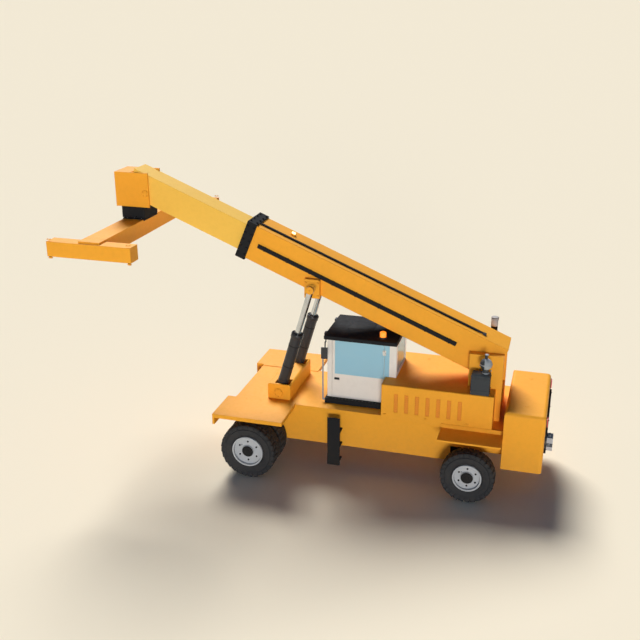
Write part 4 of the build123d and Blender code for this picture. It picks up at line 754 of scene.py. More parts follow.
class REACHSTACKER_OT_build_windows(ReachStackerOperator, bpy.types.Operator):
    """Adds the cab's bonded panes, gaskets and wiper"""

    bl_idname = "reach_stacker.build_windows"
    bl_label = "Build Windows"

    FACE = 0.020             # the cab's outer face beyond its glass
    LAP = 0.012              # a bonded pane's overlap on its frame
    PANE = 0.006
    HINGE_BAND = (3.335, 3.485)
    QUARTER_REAR = -2.104    # rear edge of the fixed pane behind the door
    DOOR_EDGE = (-1.970, -1.960)

    def execute(self, context):
        low, high = corners("door_glass_left")
        face = high.y + self.FACE + RING_GAP
        bm = bmesh.new()
        self.add_pane(bm, (low.x + GAP, high.x + self.LAP), face, (low.z - self.LAP, high.z + self.LAP))
        self.add_strip(bm, (self.DOOR_EDGE[1], low.x), face, low.z, high.z)
        finished_piece(
            bm, "door_bonded_pane", "tinted cab glass", "cab_door", smooth_below=None)
        bm = bmesh.new()
        self.add_pane(
            bm, (self.QUARTER_REAR, HINGE_LEAF_REAR - GAP), face, (low.z - self.LAP, high.z + self.LAP))
        self.add_strip(bm, (HINGE_LEAF_REAR, self.DOOR_EDGE[0]), face, low.z, high.z)
        finished_piece(
            bm, "quarter_bonded_pane", "tinted cab glass", smooth_below=None)

        inner_low, inner_high = corners("cab_glass")
        width = sizes().gasket_width
        bm = bmesh.new()
        right = -face
        add_surround(bm, (self.QUARTER_REAR, right - 0.008, low.z), (high.x, right, inner_high.z), width, 1)
        front = inner_high.x + self.FACE
        add_surround(bm, (front + 0.001, -0.60, inner_low.z), (front + 0.009, 0.60, inner_high.z), width, 0)
        rear = inner_low.x - self.FACE
        add_surround(
            bm, (rear - 0.009, -0.61, HOOD_TOP + 0.06), (rear - 0.001, 0.61, inner_high.z), width, 0)
        finished_piece(bm, "window_gaskets", "window gasket rubber", smooth_below=40)

        bm = bmesh.new()
        foot = Vector((front + 0.012, -0.10, inner_low.z - 0.07))
        tip = foot + Vector((0.012, 0.32, 0.78))
        add_rod(bm, foot - Vector((0.012, 0, 0)), foot + Vector((0.030, 0, 0)), 0.028)
        add_rod(bm, foot + Vector((0.020, 0, 0)), tip, 0.011, 0.007)
        blade = Vector((0, 0.16, 0.39))
        add_rod(bm, tip - blade + Vector((-0.006, 0, 0)), tip + blade + Vector((-0.006, 0, 0)), 0.009)
        add_box(bm, tip, (0.018, 0.03, 0.03), 0.004, ahead=(0.012, 0.03, 0.03))
        finished_piece(bm, "windscreen_wiper", "black moulded plastic")
        return {"FINISHED"}

    def add_pane(self, bm, x, face, z):
        add_block(bm, (x[0], face, z[0]), (x[1], face + self.PANE, z[1]), 0.0015)

    def add_strip(self, bm, x, face, low, high):
        """The part of a pane beside the door's hinge, cut out round the hinge."""
        self.add_pane(bm, x, face, (low - self.LAP, self.HINGE_BAND[0]))
        self.add_pane(bm, x, face, (self.HINGE_BAND[1], high + self.LAP))


class REACHSTACKER_OT_build_cab_trim(ReachStackerOperator, bpy.types.Operator):
    """Adds the cab's handle, roof hatch, beacon base, mirror glass, lamps and grip strips"""

    bl_idname = "reach_stacker.build_cab_trim"
    bl_label = "Build Cab Trim"

    def execute(self, context):
        door_low, door_high = corners("door_glass_left")
        face = door_high.y + 0.020
        bm = bmesh.new()
        handle = Vector((door_high.x - 0.02, face, door_low.z - 0.16))
        add_box(bm, handle, (0.10, 0.0, 0.035), 0.003, ahead=(0.04, 0.008, 0.035))
        for shift in (-0.08, 0.02):
            add_rod(bm, handle + Vector((shift, 0.004, 0)), handle + Vector((shift, 0.045, 0)), 0.009)
        add_rod(bm, handle + Vector((-0.10, 0.040, 0)), handle + Vector((0.04, 0.040, 0)), 0.011)
        finished_piece(bm, "door_handle", "black moulded plastic", "cab_door")

        roof_low, roof_high = corners("cab_roof")
        bm = bmesh.new()
        middle = Vector(((roof_low.x + roof_high.x) / 2 + 0.15, -0.12, roof_high.z))
        add_box(bm, middle, (0.36, 0.30, 0.004), 0.003, ahead=(0.36, 0.30, 0.006))
        for dx in (-0.2, 0.2):
            add_rod(
                bm, middle + Vector((dx - 0.04, -0.30, 0.002)), middle + Vector((dx + 0.04, -0.30, 0.002)),
                0.008)
        finished_piece(bm, "roof_hatch", "satin trim enamel")

        low, high = corners("beacon")
        centre = Vector(((low.x + high.x) / 2, (low.y + high.y) / 2, low.z))
        radius = (high.x - low.x) / 2
        bm = bmesh.new()
        add_turned(
            bm, [(radius + 0.0008, GAP), (radius + 0.022, GAP), (radius + 0.022, 0.012),
            (radius + 0.010, 0.030), (radius + 0.004, 0.036), (radius + 0.0008, 0.036)], centre, UP, 40)
        finished_piece(bm, "beacon_base", "black moulded plastic")

        low, high = corners("cab_mirrors")
        bm = bmesh.new()
        shell = bmesh.new()
        for side in (LEFT, RIGHT):
            outer = high.y if side > 0 else -low.y
            y = span(side, outer - 0.044, outer - 0.006)
            add_block(bm, (low.x - 0.004, y[0], low.z + 0.015), (low.x + 0.002, y[1], low.z + 0.305), 0.002)
            add_surround(
                shell, (low.x - 0.007, y[0], low.z + 0.015), (low.x - GAP, y[1], low.z + 0.305), 0.005, 0)
        finished_piece(bm, "mirror_glass", "silvered glass", smooth_below=None)
        finished_piece(shell, "mirror_frames", "black moulded plastic")

        bm, lens = bmesh.new(), bmesh.new()
        for y in (-0.55, 0.55):
            seat = Vector((roof_high.x, y, roof_low.z + 0.052))
            add_box(bm, seat, (0.004, 0.07, 0.045), 0.010, ahead=(0.050, 0.07, 0.045))
            add_block(
                lens, seat + Vector((0.046, -0.058, -0.034)), seat + Vector((0.056, 0.058, 0.034)), 0.004)
        finished_piece(bm, "roof_lamps", "black moulded plastic")
        finished_piece(lens, "roof_lamp_lenses", "clear lamp lens")

        slab_high = corners("cab_floor")[1]
        bm = bmesh.new()
        for side in (LEFT, RIGHT):
            for i in range(14):
                x = slab_high.x - 0.22 - i * 0.095
                y = span(side, 0.735, 0.815)
                add_block(bm, (x, y[0], slab_high.z - 0.001), (x + 0.03, y[1], slab_high.z + 0.006), 0.002)
        finished_piece(bm, "slab_grip_strips", "hose rubber")
        return {"FINISHED"}


class REACHSTACKER_OT_build_operator_place(ReachStackerOperator, bpy.types.Operator):
    """Builds the seat, steering console and control arm inside the cab"""

    bl_idname = "reach_stacker.build_operator_place"
    bl_label = "Build Operator Place"

    SWELL = 0.018
    SEAT_PAD = (0.52, 0.50, 0.12)
    BACK_PAD = (0.12, 0.48, 0.71)
    PAD_LOW = 0.38
    BACK_LOW = 0.44
    PEDESTAL = 0.17
    GRID = 0.012             # size of the cloth's mesh
    CLOTH_FRAMES = 20
    CHANNEL = 0.010          # depth and width of a sewn channel

    def execute(self, context):
        low, high = corners("operator_seat")
        seat_x = high.x - self.SEAT_PAD[0] / 2
        bm = bmesh.new()
        add_block(
            bm, (seat_x - self.PEDESTAL, -self.PEDESTAL, low.z),
            (seat_x + self.PEDESTAL, self.PEDESTAL, low.z + 0.10), 0.012)
        for i in range(6):
            rib = self.PEDESTAL - 0.012 * (i % 2) - 0.006
            add_block(
                bm, (seat_x - rib, -rib, low.z + 0.098 + i * 0.042),
                (seat_x + rib, rib, low.z + 0.142 + i * 0.042), 0.006)
        add_block(
            bm, (seat_x - 0.20, -0.20, low.z + 0.345), (seat_x + 0.20, 0.20, low.z + self.PAD_LOW - 0.001),
            0.006)
        shell_x = low.x
        add_block(
            bm, (shell_x + 0.002, -0.22, low.z + self.PAD_LOW + 0.02),
            (shell_x + 0.022, 0.22, high.z - 0.06), 0.008)
        for side in (LEFT, RIGHT):
            y = span(side, 0.205, 0.225)
            add_block(
                bm, (shell_x + 0.01, y[0], low.z + self.PAD_LOW - 0.03),
                (seat_x - 0.12, y[1], low.z + self.PAD_LOW + 0.05), 0.006)
        pedestal = finished_piece(bm, "seat_pedestal", "black moulded plastic")
        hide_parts("operator_seat")
        seat_low = Vector((seat_x - self.SEAT_PAD[0] / 2, -self.SEAT_PAD[1] / 2, low.z + self.PAD_LOW))
        self.build_cushion(
            "seat_cushion", seat_low, seat_low + Vector(self.SEAT_PAD), 2,
            (0, (seat_x - 0.09, seat_x + 0.09)))
        back_low = Vector((low.x, -self.BACK_PAD[1] / 2, low.z + self.BACK_LOW)) + Vector((0.022, 0, 0))
        back_high = Vector((low.x, self.BACK_PAD[1] / 2, low.z + self.BACK_LOW)) + Vector((self.BACK_PAD[0],
            0, self.BACK_PAD[2]))
        self.build_cushion(
            "back_cushion", back_low, back_high, 0, (2, (back_low.z + 0.18, back_low.z + 0.42)))
        self.build_console()
        return {"FINISHED"}

    def build_cushion(self, name, low, high, facing, channels):
        """A stuffed cushion: swollen by cloth pressure from a smaller block, then its seams sewn in."""
        bm = bmesh.new()
        inset = Vector((self.SWELL,) * 3)
        add_block(bm, low + inset, high - inset, 0.03)
        mesh = bpy.data.meshes.new(name)
        bm.to_mesh(mesh)
        bm.free()
        piece = bpy.data.objects.new(name, mesh)
        bpy.context.collection.objects.link(piece)
        grid = piece.modifiers.new("grid", "REMESH")
        grid.mode = "VOXEL"
        grid.voxel_size = self.GRID
        self.settle(piece)
        rest = [v.co.copy() for v in piece.data.vertices]
        cloth = piece.modifiers.new("stuffing", "CLOTH")
        cloth.settings.quality = 4
        cloth.settings.mass = 0.4
        cloth.settings.use_pressure = True
        cloth.settings.uniform_pressure_force = 4.0
        cloth.settings.effector_weights.gravity = 0.0
        for number in range(1, self.CLOTH_FRAMES + 1):
            bpy.context.scene.frame_set(number)
        self.settle(piece)
        bpy.context.scene.frame_set(1)
        across, lines = channels
        for vertex, start in zip(piece.data.vertices, rest):
            move = vertex.co - start
            if move.length > self.SWELL:
                move *= self.SWELL / move.length
            vertex.co = start + move
            near = min(abs(vertex.co[across] - line) for line in lines)
            middle = (low[facing] + high[facing]) / 2
            depth = self.CHANNEL * math.exp(-(near / self.CHANNEL) ** 2)
            vertex.co[facing] -= depth * (1 if vertex.co[facing] > middle else -1)
        piece.data.materials.clear()
        piece.data.materials.append(finish("woven seat cloth"))
        for face in piece.data.polygons:
            face.use_smooth = True
        subdivision = piece.modifiers.new("smooth", "SUBSURF")
        subdivision.levels = subdivision.render_levels = 1
        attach(piece, "chassis")

    def settle(self, piece):
        """Applies a piece's modifiers to its mesh."""
        graph = bpy.context.evaluated_depsgraph_get()
        mesh = bpy.data.meshes.new_from_object(piece.evaluated_get(graph))
        piece.modifiers.clear()
        old = piece.data
        piece.data = mesh
        bpy.data.meshes.remove(old)

    def build_console(self):
        low, high = corners("steering_console")
        lean = math.radians(30)
        axis = Vector((-math.sin(lean), 0, math.cos(lean)))
        rim = Vector((high.x - 0.24, 0, low.z + 0.826)) + Vector((-0.01, 0, 0))
        bm = bmesh.new()
        add_block(bm, (high.x - 0.22, -0.14, low.z), (high.x - 0.004, 0.14, low.z + 0.60), 0.02)
        add_block(bm, (high.x - 0.20, -0.17, low.z + 0.58), (high.x - 0.02, 0.17, low.z + 0.70), 0.018)
        column = Vector((high.x - 0.16, 0, low.z + 0.69))
        add_rod(bm, column, rim, 0.034, 0.028)
        add_rod(bm, rim - axis * 0.02, rim + axis * 0.012, 0.055)
        add_tube_ring(bm, rim, axis, 0.182, 0.014)
        for turn in (90, 210, 330):
            out = turned_by(turn, axis) @ axis.orthogonal().normalized()
            add_rod(bm, rim + out * 0.04, rim + out * 0.175, 0.010, 0.012, 14)
        knob = rim + turned_by(60, axis) @ (axis.orthogonal().normalized() * 0.175)
        add_ball(bm, knob + axis * 0.04, 0.024)
        for y in (-0.09, 0.09):
            add_block(
                bm, (high.x - 0.30, y - 0.035, low.z + 0.06), (high.x - 0.21, y + 0.035, low.z + 0.075),
                0.004, turned_by(-35, "Y"))
        console = finished_piece(bm, "driver_console", "black moulded plastic")
        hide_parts("steering_console")
        bm = bmesh.new()
        add_block(
            bm, (high.x - 0.215, -0.11, low.z + 0.72), (high.x - 0.195, 0.11, low.z + 0.86), 0.006,
            turned_by(-12, "Y"))
        finished_piece(bm, "driver_screen", "grey moulded plastic")
        seat_low, seat_high = corners("operator_seat")
        bm = bmesh.new()
        y = -0.33
        add_block(
            bm, (seat_high.x - 0.42, y - 0.05, seat_low.z + 0.56),
            (seat_high.x - 0.02, y + 0.05, seat_low.z + 0.62), 0.016)
        add_rod(
            bm, (seat_high.x - 0.34, y, seat_low.z + 0.30), (seat_high.x - 0.34, y, seat_low.z + 0.57),
            0.022)
        add_rod(
            bm, (seat_high.x - 0.34, y, seat_low.z + 0.31),
            (seat_high.x - 0.34, -self.PEDESTAL, seat_low.z + 0.31), 0.022)
        lever = Vector((seat_high.x - 0.07, y, seat_low.z + 0.61))
        add_rod(bm, lever, lever + Vector((0, 0, 0.07)), 0.030, 0.012)
        add_rod(bm, lever + Vector((0, 0, 0.06)), lever + Vector((0.01, 0, 0.16)), 0.014, 0.022)
        finished_piece(bm, "control_arm", "grey moulded plastic")


class REACHSTACKER_OT_build_hood_details(ReachStackerOperator, bpy.types.Operator):
    """Adds louvres, latches and lifting plugs to the hood, and finishes the exhaust and air cleaner"""

    bl_idname = "reach_stacker.build_hood_details"
    bl_label = "Build Hood Details"

    LOUVRES = 7
    LOUVRE_FIRST = 0.322     # from the rear axle to the first vent's rear edge
    LOUVRE_PITCH = 0.283
    LOUVRE_WIDTH = 0.100
    LOUVRE_HEIGHT = (1.950, 2.490)
    POCKET = 0.012
    BOWL = (0.1525, 0.825)   # the air cleaner's bowl: radius, middle above the hood

    def execute(self, context):
        high = corners("engine_hood")[1]
        face = high.y
        bottom, top = self.LOUVRE_HEIGHT
        blades = sizes().louvre_blades
        step = (top - bottom) / blades
        # The vents' back plates and blades take a darker orange than the body: painted shade in the vent
        # pockets.
        backs, vanes = bmesh.new(), bmesh.new()
        for side in (LEFT, RIGHT):
            for i in range(self.LOUVRES):
                x = REAR_AXLE + self.LOUVRE_FIRST + i * self.LOUVRE_PITCH
                y = span(side, face - self.POCKET, face - self.POCKET + 0.002)
                add_block(
                    backs, (x + GAP, y[0], bottom + GAP), (x + self.LOUVRE_WIDTH - GAP, y[1], top - GAP))
                for j in range(blades):
                    z = bottom + (j + 0.5) * step
                    y = span(side, face - 0.0105, face - GAP)
                    add_block(
                        vanes, (x + 0.003, y[0], z - 0.004), (x + self.LOUVRE_WIDTH - 0.003, y[1],
                        z + 0.004), 0.0015, turned_by(side * 32, "X"))
        finished_piece(backs, "louvre_shade_backs", "vent painted shade enamel", smooth_below=None)
        finished_piece(vanes, "louvre_blades", "vent painted shade enamel")

        bm = bmesh.new()
        for side in (LEFT, RIGHT):
            for x in (REAR_AXLE + 0.16, REAR_AXLE + 1.25, REAR_AXLE + 2.36):
                y = span(side, face + GAP, face + 0.012)
                add_block(bm, (x - 0.045, y[0], 1.845), (x + 0.045, y[1], 1.885), 0.003)
                add_rod(bm, (x, side * face, 1.865), (x, side * (face + 0.022), 1.865), 0.011, segments=16)
        finished_piece(bm, "hood_latches", "body enamel")
        bm = bmesh.new()
        for side in (LEFT, RIGHT):
            for x in (REAR_AXLE + 0.85, REAR_AXLE + 1.55):
                add_cap(bm, (x, side * 0.85, high.z), UP, 0.038, (-0.001, 0.003, 0.006), 0.004, 0.006, 32)
        finished_piece(bm, "hood_lifting_plugs", "body enamel")
        self.build_exhaust()
        self.build_air_cleaner(high.z)
        return {"FINISHED"}

    def build_exhaust(self):
        low, high = corners("exhaust_stack")
        radius = (high.x - low.x) / 2
        foot = Vector(((low.x + high.x) / 2, (low.y + high.y) / 2, low.z))
        bm = bmesh.new()
        cap = 0.23
        sleeve = foot + Vector((0, 0, high.z - low.z - cap))
        add_turned(
            bm, [(radius + RING_GAP, 0.0), (radius + 0.006, 0.0), (radius + 0.006, cap - 0.004),
            (radius + 0.003, cap + GAP), (radius - 0.0098, cap + GAP), (radius - 0.0098, cap + 0.0001),
            (radius + RING_GAP, cap + 0.0001)], sleeve, UP, 48)
        add_turned(
            bm, [(0.0, cap + 0.012), (radius + 0.004, cap + 0.012), (radius + 0.006, cap + 0.016),
            (radius + 0.004, cap + 0.020), (0.0, cap + 0.024)], sleeve, UP, 48)
        for side in (LEFT, RIGHT):
            hinge = sleeve + Vector((-radius - 0.010, side * 0.028, cap - 0.03))
            add_box(bm, hinge, (0.008, 0.010, 0.03), 0.002, ahead=(0.008, 0.010, 0.05))
        finished_piece(bm, "exhaust_sleeve", "stack cap enamel")
        bm = bmesh.new()
        add_band(bm, sleeve, UP, (radius + RING_GAP, radius + 0.006), (-0.30, -0.27))
        finished_piece(bm, "exhaust_clamp", "satin trim enamel")
        bm = bmesh.new()
        add_band(bm, foot, UP, (radius + RING_GAP, radius + 0.05), (RING_GAP, 0.014))
        for spoke in spokes(6, 0.0, FORWARD, ACROSS):
            add_bolt(bm, foot + spoke * (radius + 0.028) + Vector((0, 0, 0.013)), UP, 0.020)
        finished_piece(bm, "exhaust_flange", "satin trim enamel")

    def build_air_cleaner(self, hood_top):
        low, high = corners("air_cleaner")
        ball = Vector((low.x + 0.14, (low.y + high.y) / 2, hood_top + self.BOWL[1]))
        bm = bmesh.new()
        add_ball(bm, ball, self.BOWL[0])
        add_turned(bm, [(0.150, -0.016), (0.160, -0.010), (0.160, 0.010), (0.150, 0.016)], ball, UP, 48)
        finished_piece(bm, "air_bowl", "bowl enamel", smooth_below=40)
        bm = bmesh.new()
        lid = (ball.x, ball.y, high.z - 0.002)
        add_cap(bm, lid, UP, 0.052, (-0.010, GAP, 0.0025), 0.014, 0.0025, 32)
        add_band(bm, ball, UP, (0.0705, 0.085), (-0.255, -0.225), 40)
        finished_piece(bm, "air_bowl_clamps", "bowl enamel", smooth_below=40)
        bm = bmesh.new()
        top = hood_top + 0.57
        for z in (hood_top + 0.10, top - 0.12):
            add_block(
                bm, (low.x - 0.002, low.y - 0.002, z), (low.x + 0.482, high.y + 0.002, z + 0.03), 0.001)
        for x in (low.x + 0.12, low.x + 0.36):
            add_block(
                bm, (x - 0.02, high.y + 0.001, top - 0.15), (x + 0.02, high.y + 0.008, top - 0.06), 0.002)
        finished_piece(bm, "air_box_straps", "tank enamel")


class REACHSTACKER_OT_build_rear_details(ReachStackerOperator, bpy.types.Operator):
    """Adds the grille's bars, the lamps, the lifting plugs and the hitch pin to the rear end"""

    bl_idname = "reach_stacker.build_rear_details"
    bl_label = "Build Rear Details"

    HITCH_HALF = 0.165
    HITCH_TOP = 1.26
    TAIL_LAMP = (1.22, 2.22)     # across, up
    REAR_LAMP = (1.14, 1.62)

    def execute(self, context):
        low, high = corners("rear_grille")
        bm = bmesh.new()
        count = sizes().grille_bars
        pitch = (high.y - low.y - 0.10) / count
        for i in range(count):
            y = low.y + 0.05 + (i + 0.5) * pitch
            foot = self.HITCH_TOP if abs(y) < self.HITCH_HALF + 0.02 else low.z + 0.04
            add_block(
                bm, (low.x - 0.016, y - 0.010, foot), (low.x + 0.001, y + 0.010, high.z - 0.04), 0.003)
        for z in (low.z + 0.37, (low.z + high.z) / 2 + 0.12, high.z - 0.30):
            add_block(bm, (low.x - 0.010, low.y + 0.05, z), (low.x + 0.001, high.y - 0.05, z + 0.02), 0.002)
        for side in (LEFT, RIGHT):
            y = span(side, high.y - GAP, high.y - 0.045)
            add_block(
                bm, (low.x - 0.020, y[0], low.z + 0.001), (low.x + 0.001, y[1], high.z - 0.001), 0.004)
            y = span(side, high.y - 0.05, self.HITCH_HALF)
            add_block(bm, (low.x - 0.020, y[0], low.z + 0.001), (low.x + 0.001, y[1], low.z + 0.045), 0.004)
        add_block(
            bm, (low.x - 0.020, low.y + 0.05, high.z - 0.045),
            (low.x + 0.001, high.y - 0.05, high.z - 0.001), 0.004)
        for side in (LEFT, RIGHT):
            for z in (low.z + 0.10, (low.z + high.z) / 2, high.z - 0.10):
                add_bolt(bm, (low.x - 0.019, side * (high.y - 0.022), z), (-1, 0, 0), 0.022)
        finished_piece(bm, "radiator_bars", "satin trim enamel")

        low, high = corners("counterweight")
        rear = low.x
        shells, lenses = bmesh.new(), bmesh.new()
        for side in (LEFT, RIGHT):
            lamp = Vector((rear, side * self.TAIL_LAMP[0], self.TAIL_LAMP[1]))
            add_box(shells, lamp, (0.020, 0.095, 0.125), 0.008, ahead=(0.001, 0.095, 0.125))
            add_block(
                lenses, lamp - Vector((0.042, 0.080, 0.110)), lamp - Vector((0.017, -0.080, -0.110)), 0.010)
        finished_piece(shells, "tail_lamp_shells", "black moulded plastic")
        finished_piece(lenses, "tail_lamp_lenses", "red polycarbonate")
        shells, lenses = bmesh.new(), bmesh.new()
        for side in (LEFT, RIGHT):
            lamp = Vector((rear, side * self.REAR_LAMP[0], self.REAR_LAMP[1]))
            add_turned(
                shells, [(0.0, -0.001), (0.165, -0.001), (0.165, 0.018), (0.148, 0.032), (0.132, 0.032),
                (0.122, 0.020), (0.0, 0.020)], lamp, (-1, 0, 0), 48)
            add_turned(
                lenses, [(0.0, 0.018), (0.118, 0.018), (0.112, 0.026), (0.060, 0.034), (0.0, 0.036)], lamp,
                (-1, 0, 0), 40)
        finished_piece(shells, "rear_lamp_shells", "black moulded plastic")
        finished_piece(lenses, "rear_lamp_lenses", "smoked lamp lens")

        bm = bmesh.new()
        for side in (LEFT, RIGHT):
            eye = Vector(((low.x + high.x) / 2, side * 0.90, high.z))
            add_cap(bm, eye, UP, 0.055, (-0.001, 0.004, 0.008), 0.005, 0.008, 40)
        finished_piece(bm, "lifting_plugs", "body enamel")

        low, high = corners("tow_hitch")
        bm = bmesh.new()
        pin = Vector((low.x + 0.09, 0, high.z))
        add_rod(bm, pin + Vector((0, 0, -0.372)), pin + Vector((0, 0, 0.030)), 0.0245)
        add_rod(bm, pin + Vector((0, 0, 0.001)), pin + Vector((0, 0, 0.016)), 0.040)
        add_tube_ring(bm, pin + Vector((0, 0, 0.055)), ACROSS, 0.030, 0.006, 32)
        finished_piece(bm, "hitch_pin", "grey rail enamel")
        return {"FINISHED"}


class REACHSTACKER_OT_build_boom_details(ReachStackerOperator, bpy.types.Operator):
    """Adds pivot covers, collar bolts, wear pads, rail clamps and the work light to the boom"""

    bl_idname = "reach_stacker.build_boom_details"
    bl_label = "Build Boom Details"

    HALF_WIDTH = 0.460
    TOP, BOTTOM = 0.636, -0.349
    COLLAR = (7.097, 7.379)
    COLLAR_PROUD = 0.038
    INNER_HALF = 0.340
    INNER_TOP = 0.510
    SIDE_RAIL_H = 0.139

    def execute(self, context):
        bm = bmesh.new()
        reach = self.HALF_WIDTH + self.COLLAR_PROUD
        rows = (self.COLLAR[0] + 0.05, self.COLLAR[1] - 0.05)
        for side in (LEFT, RIGHT):
            for h in (-0.26, -0.06, 0.14, 0.34, 0.54):
                for s in rows:
                    add_bolt(bm, boom_point(s, side * reach, h), (0, side, 0))
        for y in (-0.36, -0.12, 0.12, 0.36):
            for s in rows:
                add_bolt(bm, boom_point(s, y, self.TOP + self.COLLAR_PROUD), BOOM_UP)
        finished_piece(bm, "collar_bolts", "satin trim enamel", "boom")
        bm = bmesh.new()
        front = self.COLLAR[1]
        for side in (LEFT, RIGHT):
            y = span(side, self.INNER_HALF + 0.002, self.HALF_WIDTH - 0.03)
            for h in ((-0.22, 0.04), (0.22, 0.48)):
                add_boom_block(bm, (front - 0.10, front + 0.004), y, h, 0.006)
        for y in ((-0.28, -0.04), (0.04, 0.28)):
            add_boom_block(
                bm, (front - 0.10, front + 0.004), y, (self.INNER_TOP + 0.002, self.TOP - 0.03), 0.006)
        finished_piece(bm, "boom_wear_pads", "wear pad nylon", "boom")

        bm = bmesh.new()
        for i in range(9):
            s = 1.15 + i * 0.69
            for side in (LEFT, RIGHT):
                y = span(side, self.HALF_WIDTH + GAP, self.HALF_WIDTH + 0.048)
                add_boom_block(
                    bm, (s - 0.022, s + 0.022), y, (self.SIDE_RAIL_H - 0.064, self.SIDE_RAIL_H + 0.064),
                    0.004)
        finished_piece(bm, "rail_clamps", "satin trim enamel", "boom")

        bm = bmesh.new()
        for side in (LEFT, RIGHT):
            for h in (self.TOP - 0.012, self.BOTTOM + 0.012):
                add_rod(
                    bm, boom_point(0.05, side * (self.HALF_WIDTH - 0.002), h),
                    boom_point(self.COLLAR[0] - 0.002, side * (self.HALF_WIDTH - 0.002), h), 0.007,
                    segments=10)
        finished_piece(bm, "boom_weld_seams", "body enamel", "boom", smooth_below=60)

        lamp = boom_point(6.21, -0.14, self.TOP)
        shell, lens = bmesh.new(), bmesh.new()
        add_boom_block(shell, (6.145, 6.275), (-0.205, -0.075), (self.TOP - 0.002, self.TOP + 0.050), 0.010)
        add_turned(
            lens, [(0.0, 0.0), (0.056, 0.0), (0.056, 0.020), (0.040, 0.034), (0.0, 0.040)],
            lamp + BOOM_UP * 0.046, BOOM_UP, 40)
        finished_piece(shell, "work_light_shell", "body enamel", "boom")
        finished_piece(lens, "work_light_lens", "warm work light lens", "boom")
        self.build_pins()
        return {"FINISHED"}

    def build_pins(self):
        high = corners("boom_tower")[1]
        plate = high.y - 0.012
        bm, steel = bmesh.new(), bmesh.new()
        for side in (LEFT, RIGHT):
            seat = Vector((PIVOT.x, side * plate, PIVOT.z))
            out = Vector((0, side, 0))
            add_turned(
                bm, [(0.1105, RING_GAP), (0.185, RING_GAP), (0.185, 0.014), (0.178, 0.020),
                (0.1105, 0.020)], seat, out, 56)
            for spoke in spokes(8):
                add_bolt(steel, seat + spoke * 0.150 + out * 0.019, out, 0.030)
            face = seat + out * 0.012
            add_turned(
                steel, [(0.0, RING_GAP), (0.092, RING_GAP), (0.092, 0.006), (0.084, 0.012), (0.030, 0.014),
                (0.026, 0.024), (0.0, 0.024)], face, out, 48)
        finished_piece(bm, "pivot_covers", "body enamel")
        finished_piece(steel, "pivot_bolts", "zinc-plated steel")

        high = corners("boom_brackets")[1]
        bm = bmesh.new()
        for side in (LEFT, RIGHT):
            face = side * high.y
            for dx, dz in ((-0.15, 0.13), (0.19, 0.13), (-0.15, -0.22), (0.19, -0.22)):
                place = Vector((ROD_EYE.x + dx, face, ROD_EYE.z + dz))
                add_bolt(bm, place, (0, side, 0), 0.040)
        finished_piece(bm, "bracket_bolts", "body enamel", "boom")


class REACHSTACKER_OT_build_cylinder_details(ReachStackerOperator, bpy.types.Operator):
    """Adds glands, ports, tubes and pin plates to the two lift cylinders"""

    bl_idname = "reach_stacker.build_cylinder_details"
    bl_label = "Build Cylinder Details"

    FOOT = Vector((0.96298, 0.75, 1.99))
    AXIS = Vector((-0.28070, 0.0, 0.95980)).normalized()
    BARREL_R = 0.155
    ROD_R = 0.085

    def execute(self, context):
        ahead = self.AXIS.cross(ACROSS).normalized()
        for name, side in SIDES:
            foot = Vector((self.FOOT.x, side * self.FOOT.y, self.FOOT.z))
            body = "lift_barrel_" + name
            bm = bmesh.new()
            radius = self.BARREL_R
            add_turned(
                bm, [(radius + GAP, 1.700), (radius + 0.012, 1.700), (radius + 0.016, 1.706),
                (radius + 0.016, 1.815), (radius + 0.010, 1.826), (radius - 0.030, 1.8305),
                (self.ROD_R + 0.004, 1.8305), (self.ROD_R + 0.004, 1.8301), (radius + GAP, 1.8301)], foot,
                self.AXIS, 48)
            add_turned(
                bm, [(self.ROD_R + 0.002, 1.8302), (self.ROD_R + 0.030, 1.8302),
                (self.ROD_R + 0.026, 1.848), (self.ROD_R + 0.002, 1.852)], foot, self.AXIS, 40)
            add_band(bm, foot, self.AXIS, (radius + GAP, radius + 0.006), (0.34, 0.38))
            finished_piece(bm, "lift_gland_" + name, "cylinder enamel", body)
            bm = bmesh.new()
            ring = foot + self.AXIS * 1.8305
            for spoke in spokes(10, 0.0, ACROSS, ahead):
                add_bolt(bm, ring + spoke * 0.131, self.AXIS, 0.024)
            finished_piece(bm, "gland_bolts_" + name, "satin trim enamel", body)
            bm = bmesh.new()
            out = Vector((0, -1, 0))
            line = out * (radius + 0.026)
            start, rise, middle, fall, end = (foot + self.AXIS * s for s in (0.62, 0.70, 1.10, 1.56, 1.66))
            add_hose(bm, [
                start + out * (radius - 0.005), start + line * 1.08, rise + line, middle + line, fall + line,
                end + line * 1.06, end + out * (radius - 0.002)], 0.014)
            for s in (0.80, 1.45):
                place = foot + self.AXIS * s
                add_band(bm, foot, self.AXIS, (radius + GAP, radius + 0.003), (s - 0.012, s + 0.012), 40)
                add_box(bm, place + line, (0.022, 0.022, 0.016), 0.004, turned_by(-16.3, "Y"))
            finished_piece(bm, "lift_tube_" + name, "satin trim enamel", body)
            bm = bmesh.new()
            rod_low, rod_high = corners("lift_rod_" + name)
            end = rod_high.y if side > 0 else rod_low.y
            eye = Vector((ROD_EYE.x, end, ROD_EYE.z))
            turned = Vector((0, side, 0))
            add_cap(bm, eye, turned, 0.108, (GAP, 0.010, 0.016), 0.008, 0.018, 40)
            add_bolt(bm, eye + turned * 0.017, turned, 0.030)
            finished_piece(bm, "rod_pin_cap_" + name, "body enamel", "lift_rod_" + name)
        bm = bmesh.new()
        high = corners("cylinder_saddle")[1]
        for side in (LEFT, RIGHT):
            out = Vector((0, side, 0))
            seat = Vector((self.FOOT.x, side * high.y, self.FOOT.z))
            add_turned(
                bm, [(0.0, GAP), (0.130, GAP), (0.130, 0.012), (0.122, 0.020), (0.060, 0.022),
                (0.0, 0.022)], seat, out, 48)
            for spoke in spokes(6):
                add_bolt(bm, seat + spoke * 0.096 + out * 0.020, out, 0.028)
        finished_piece(bm, "trunnion_covers", "body enamel")
        return {"FINISHED"}


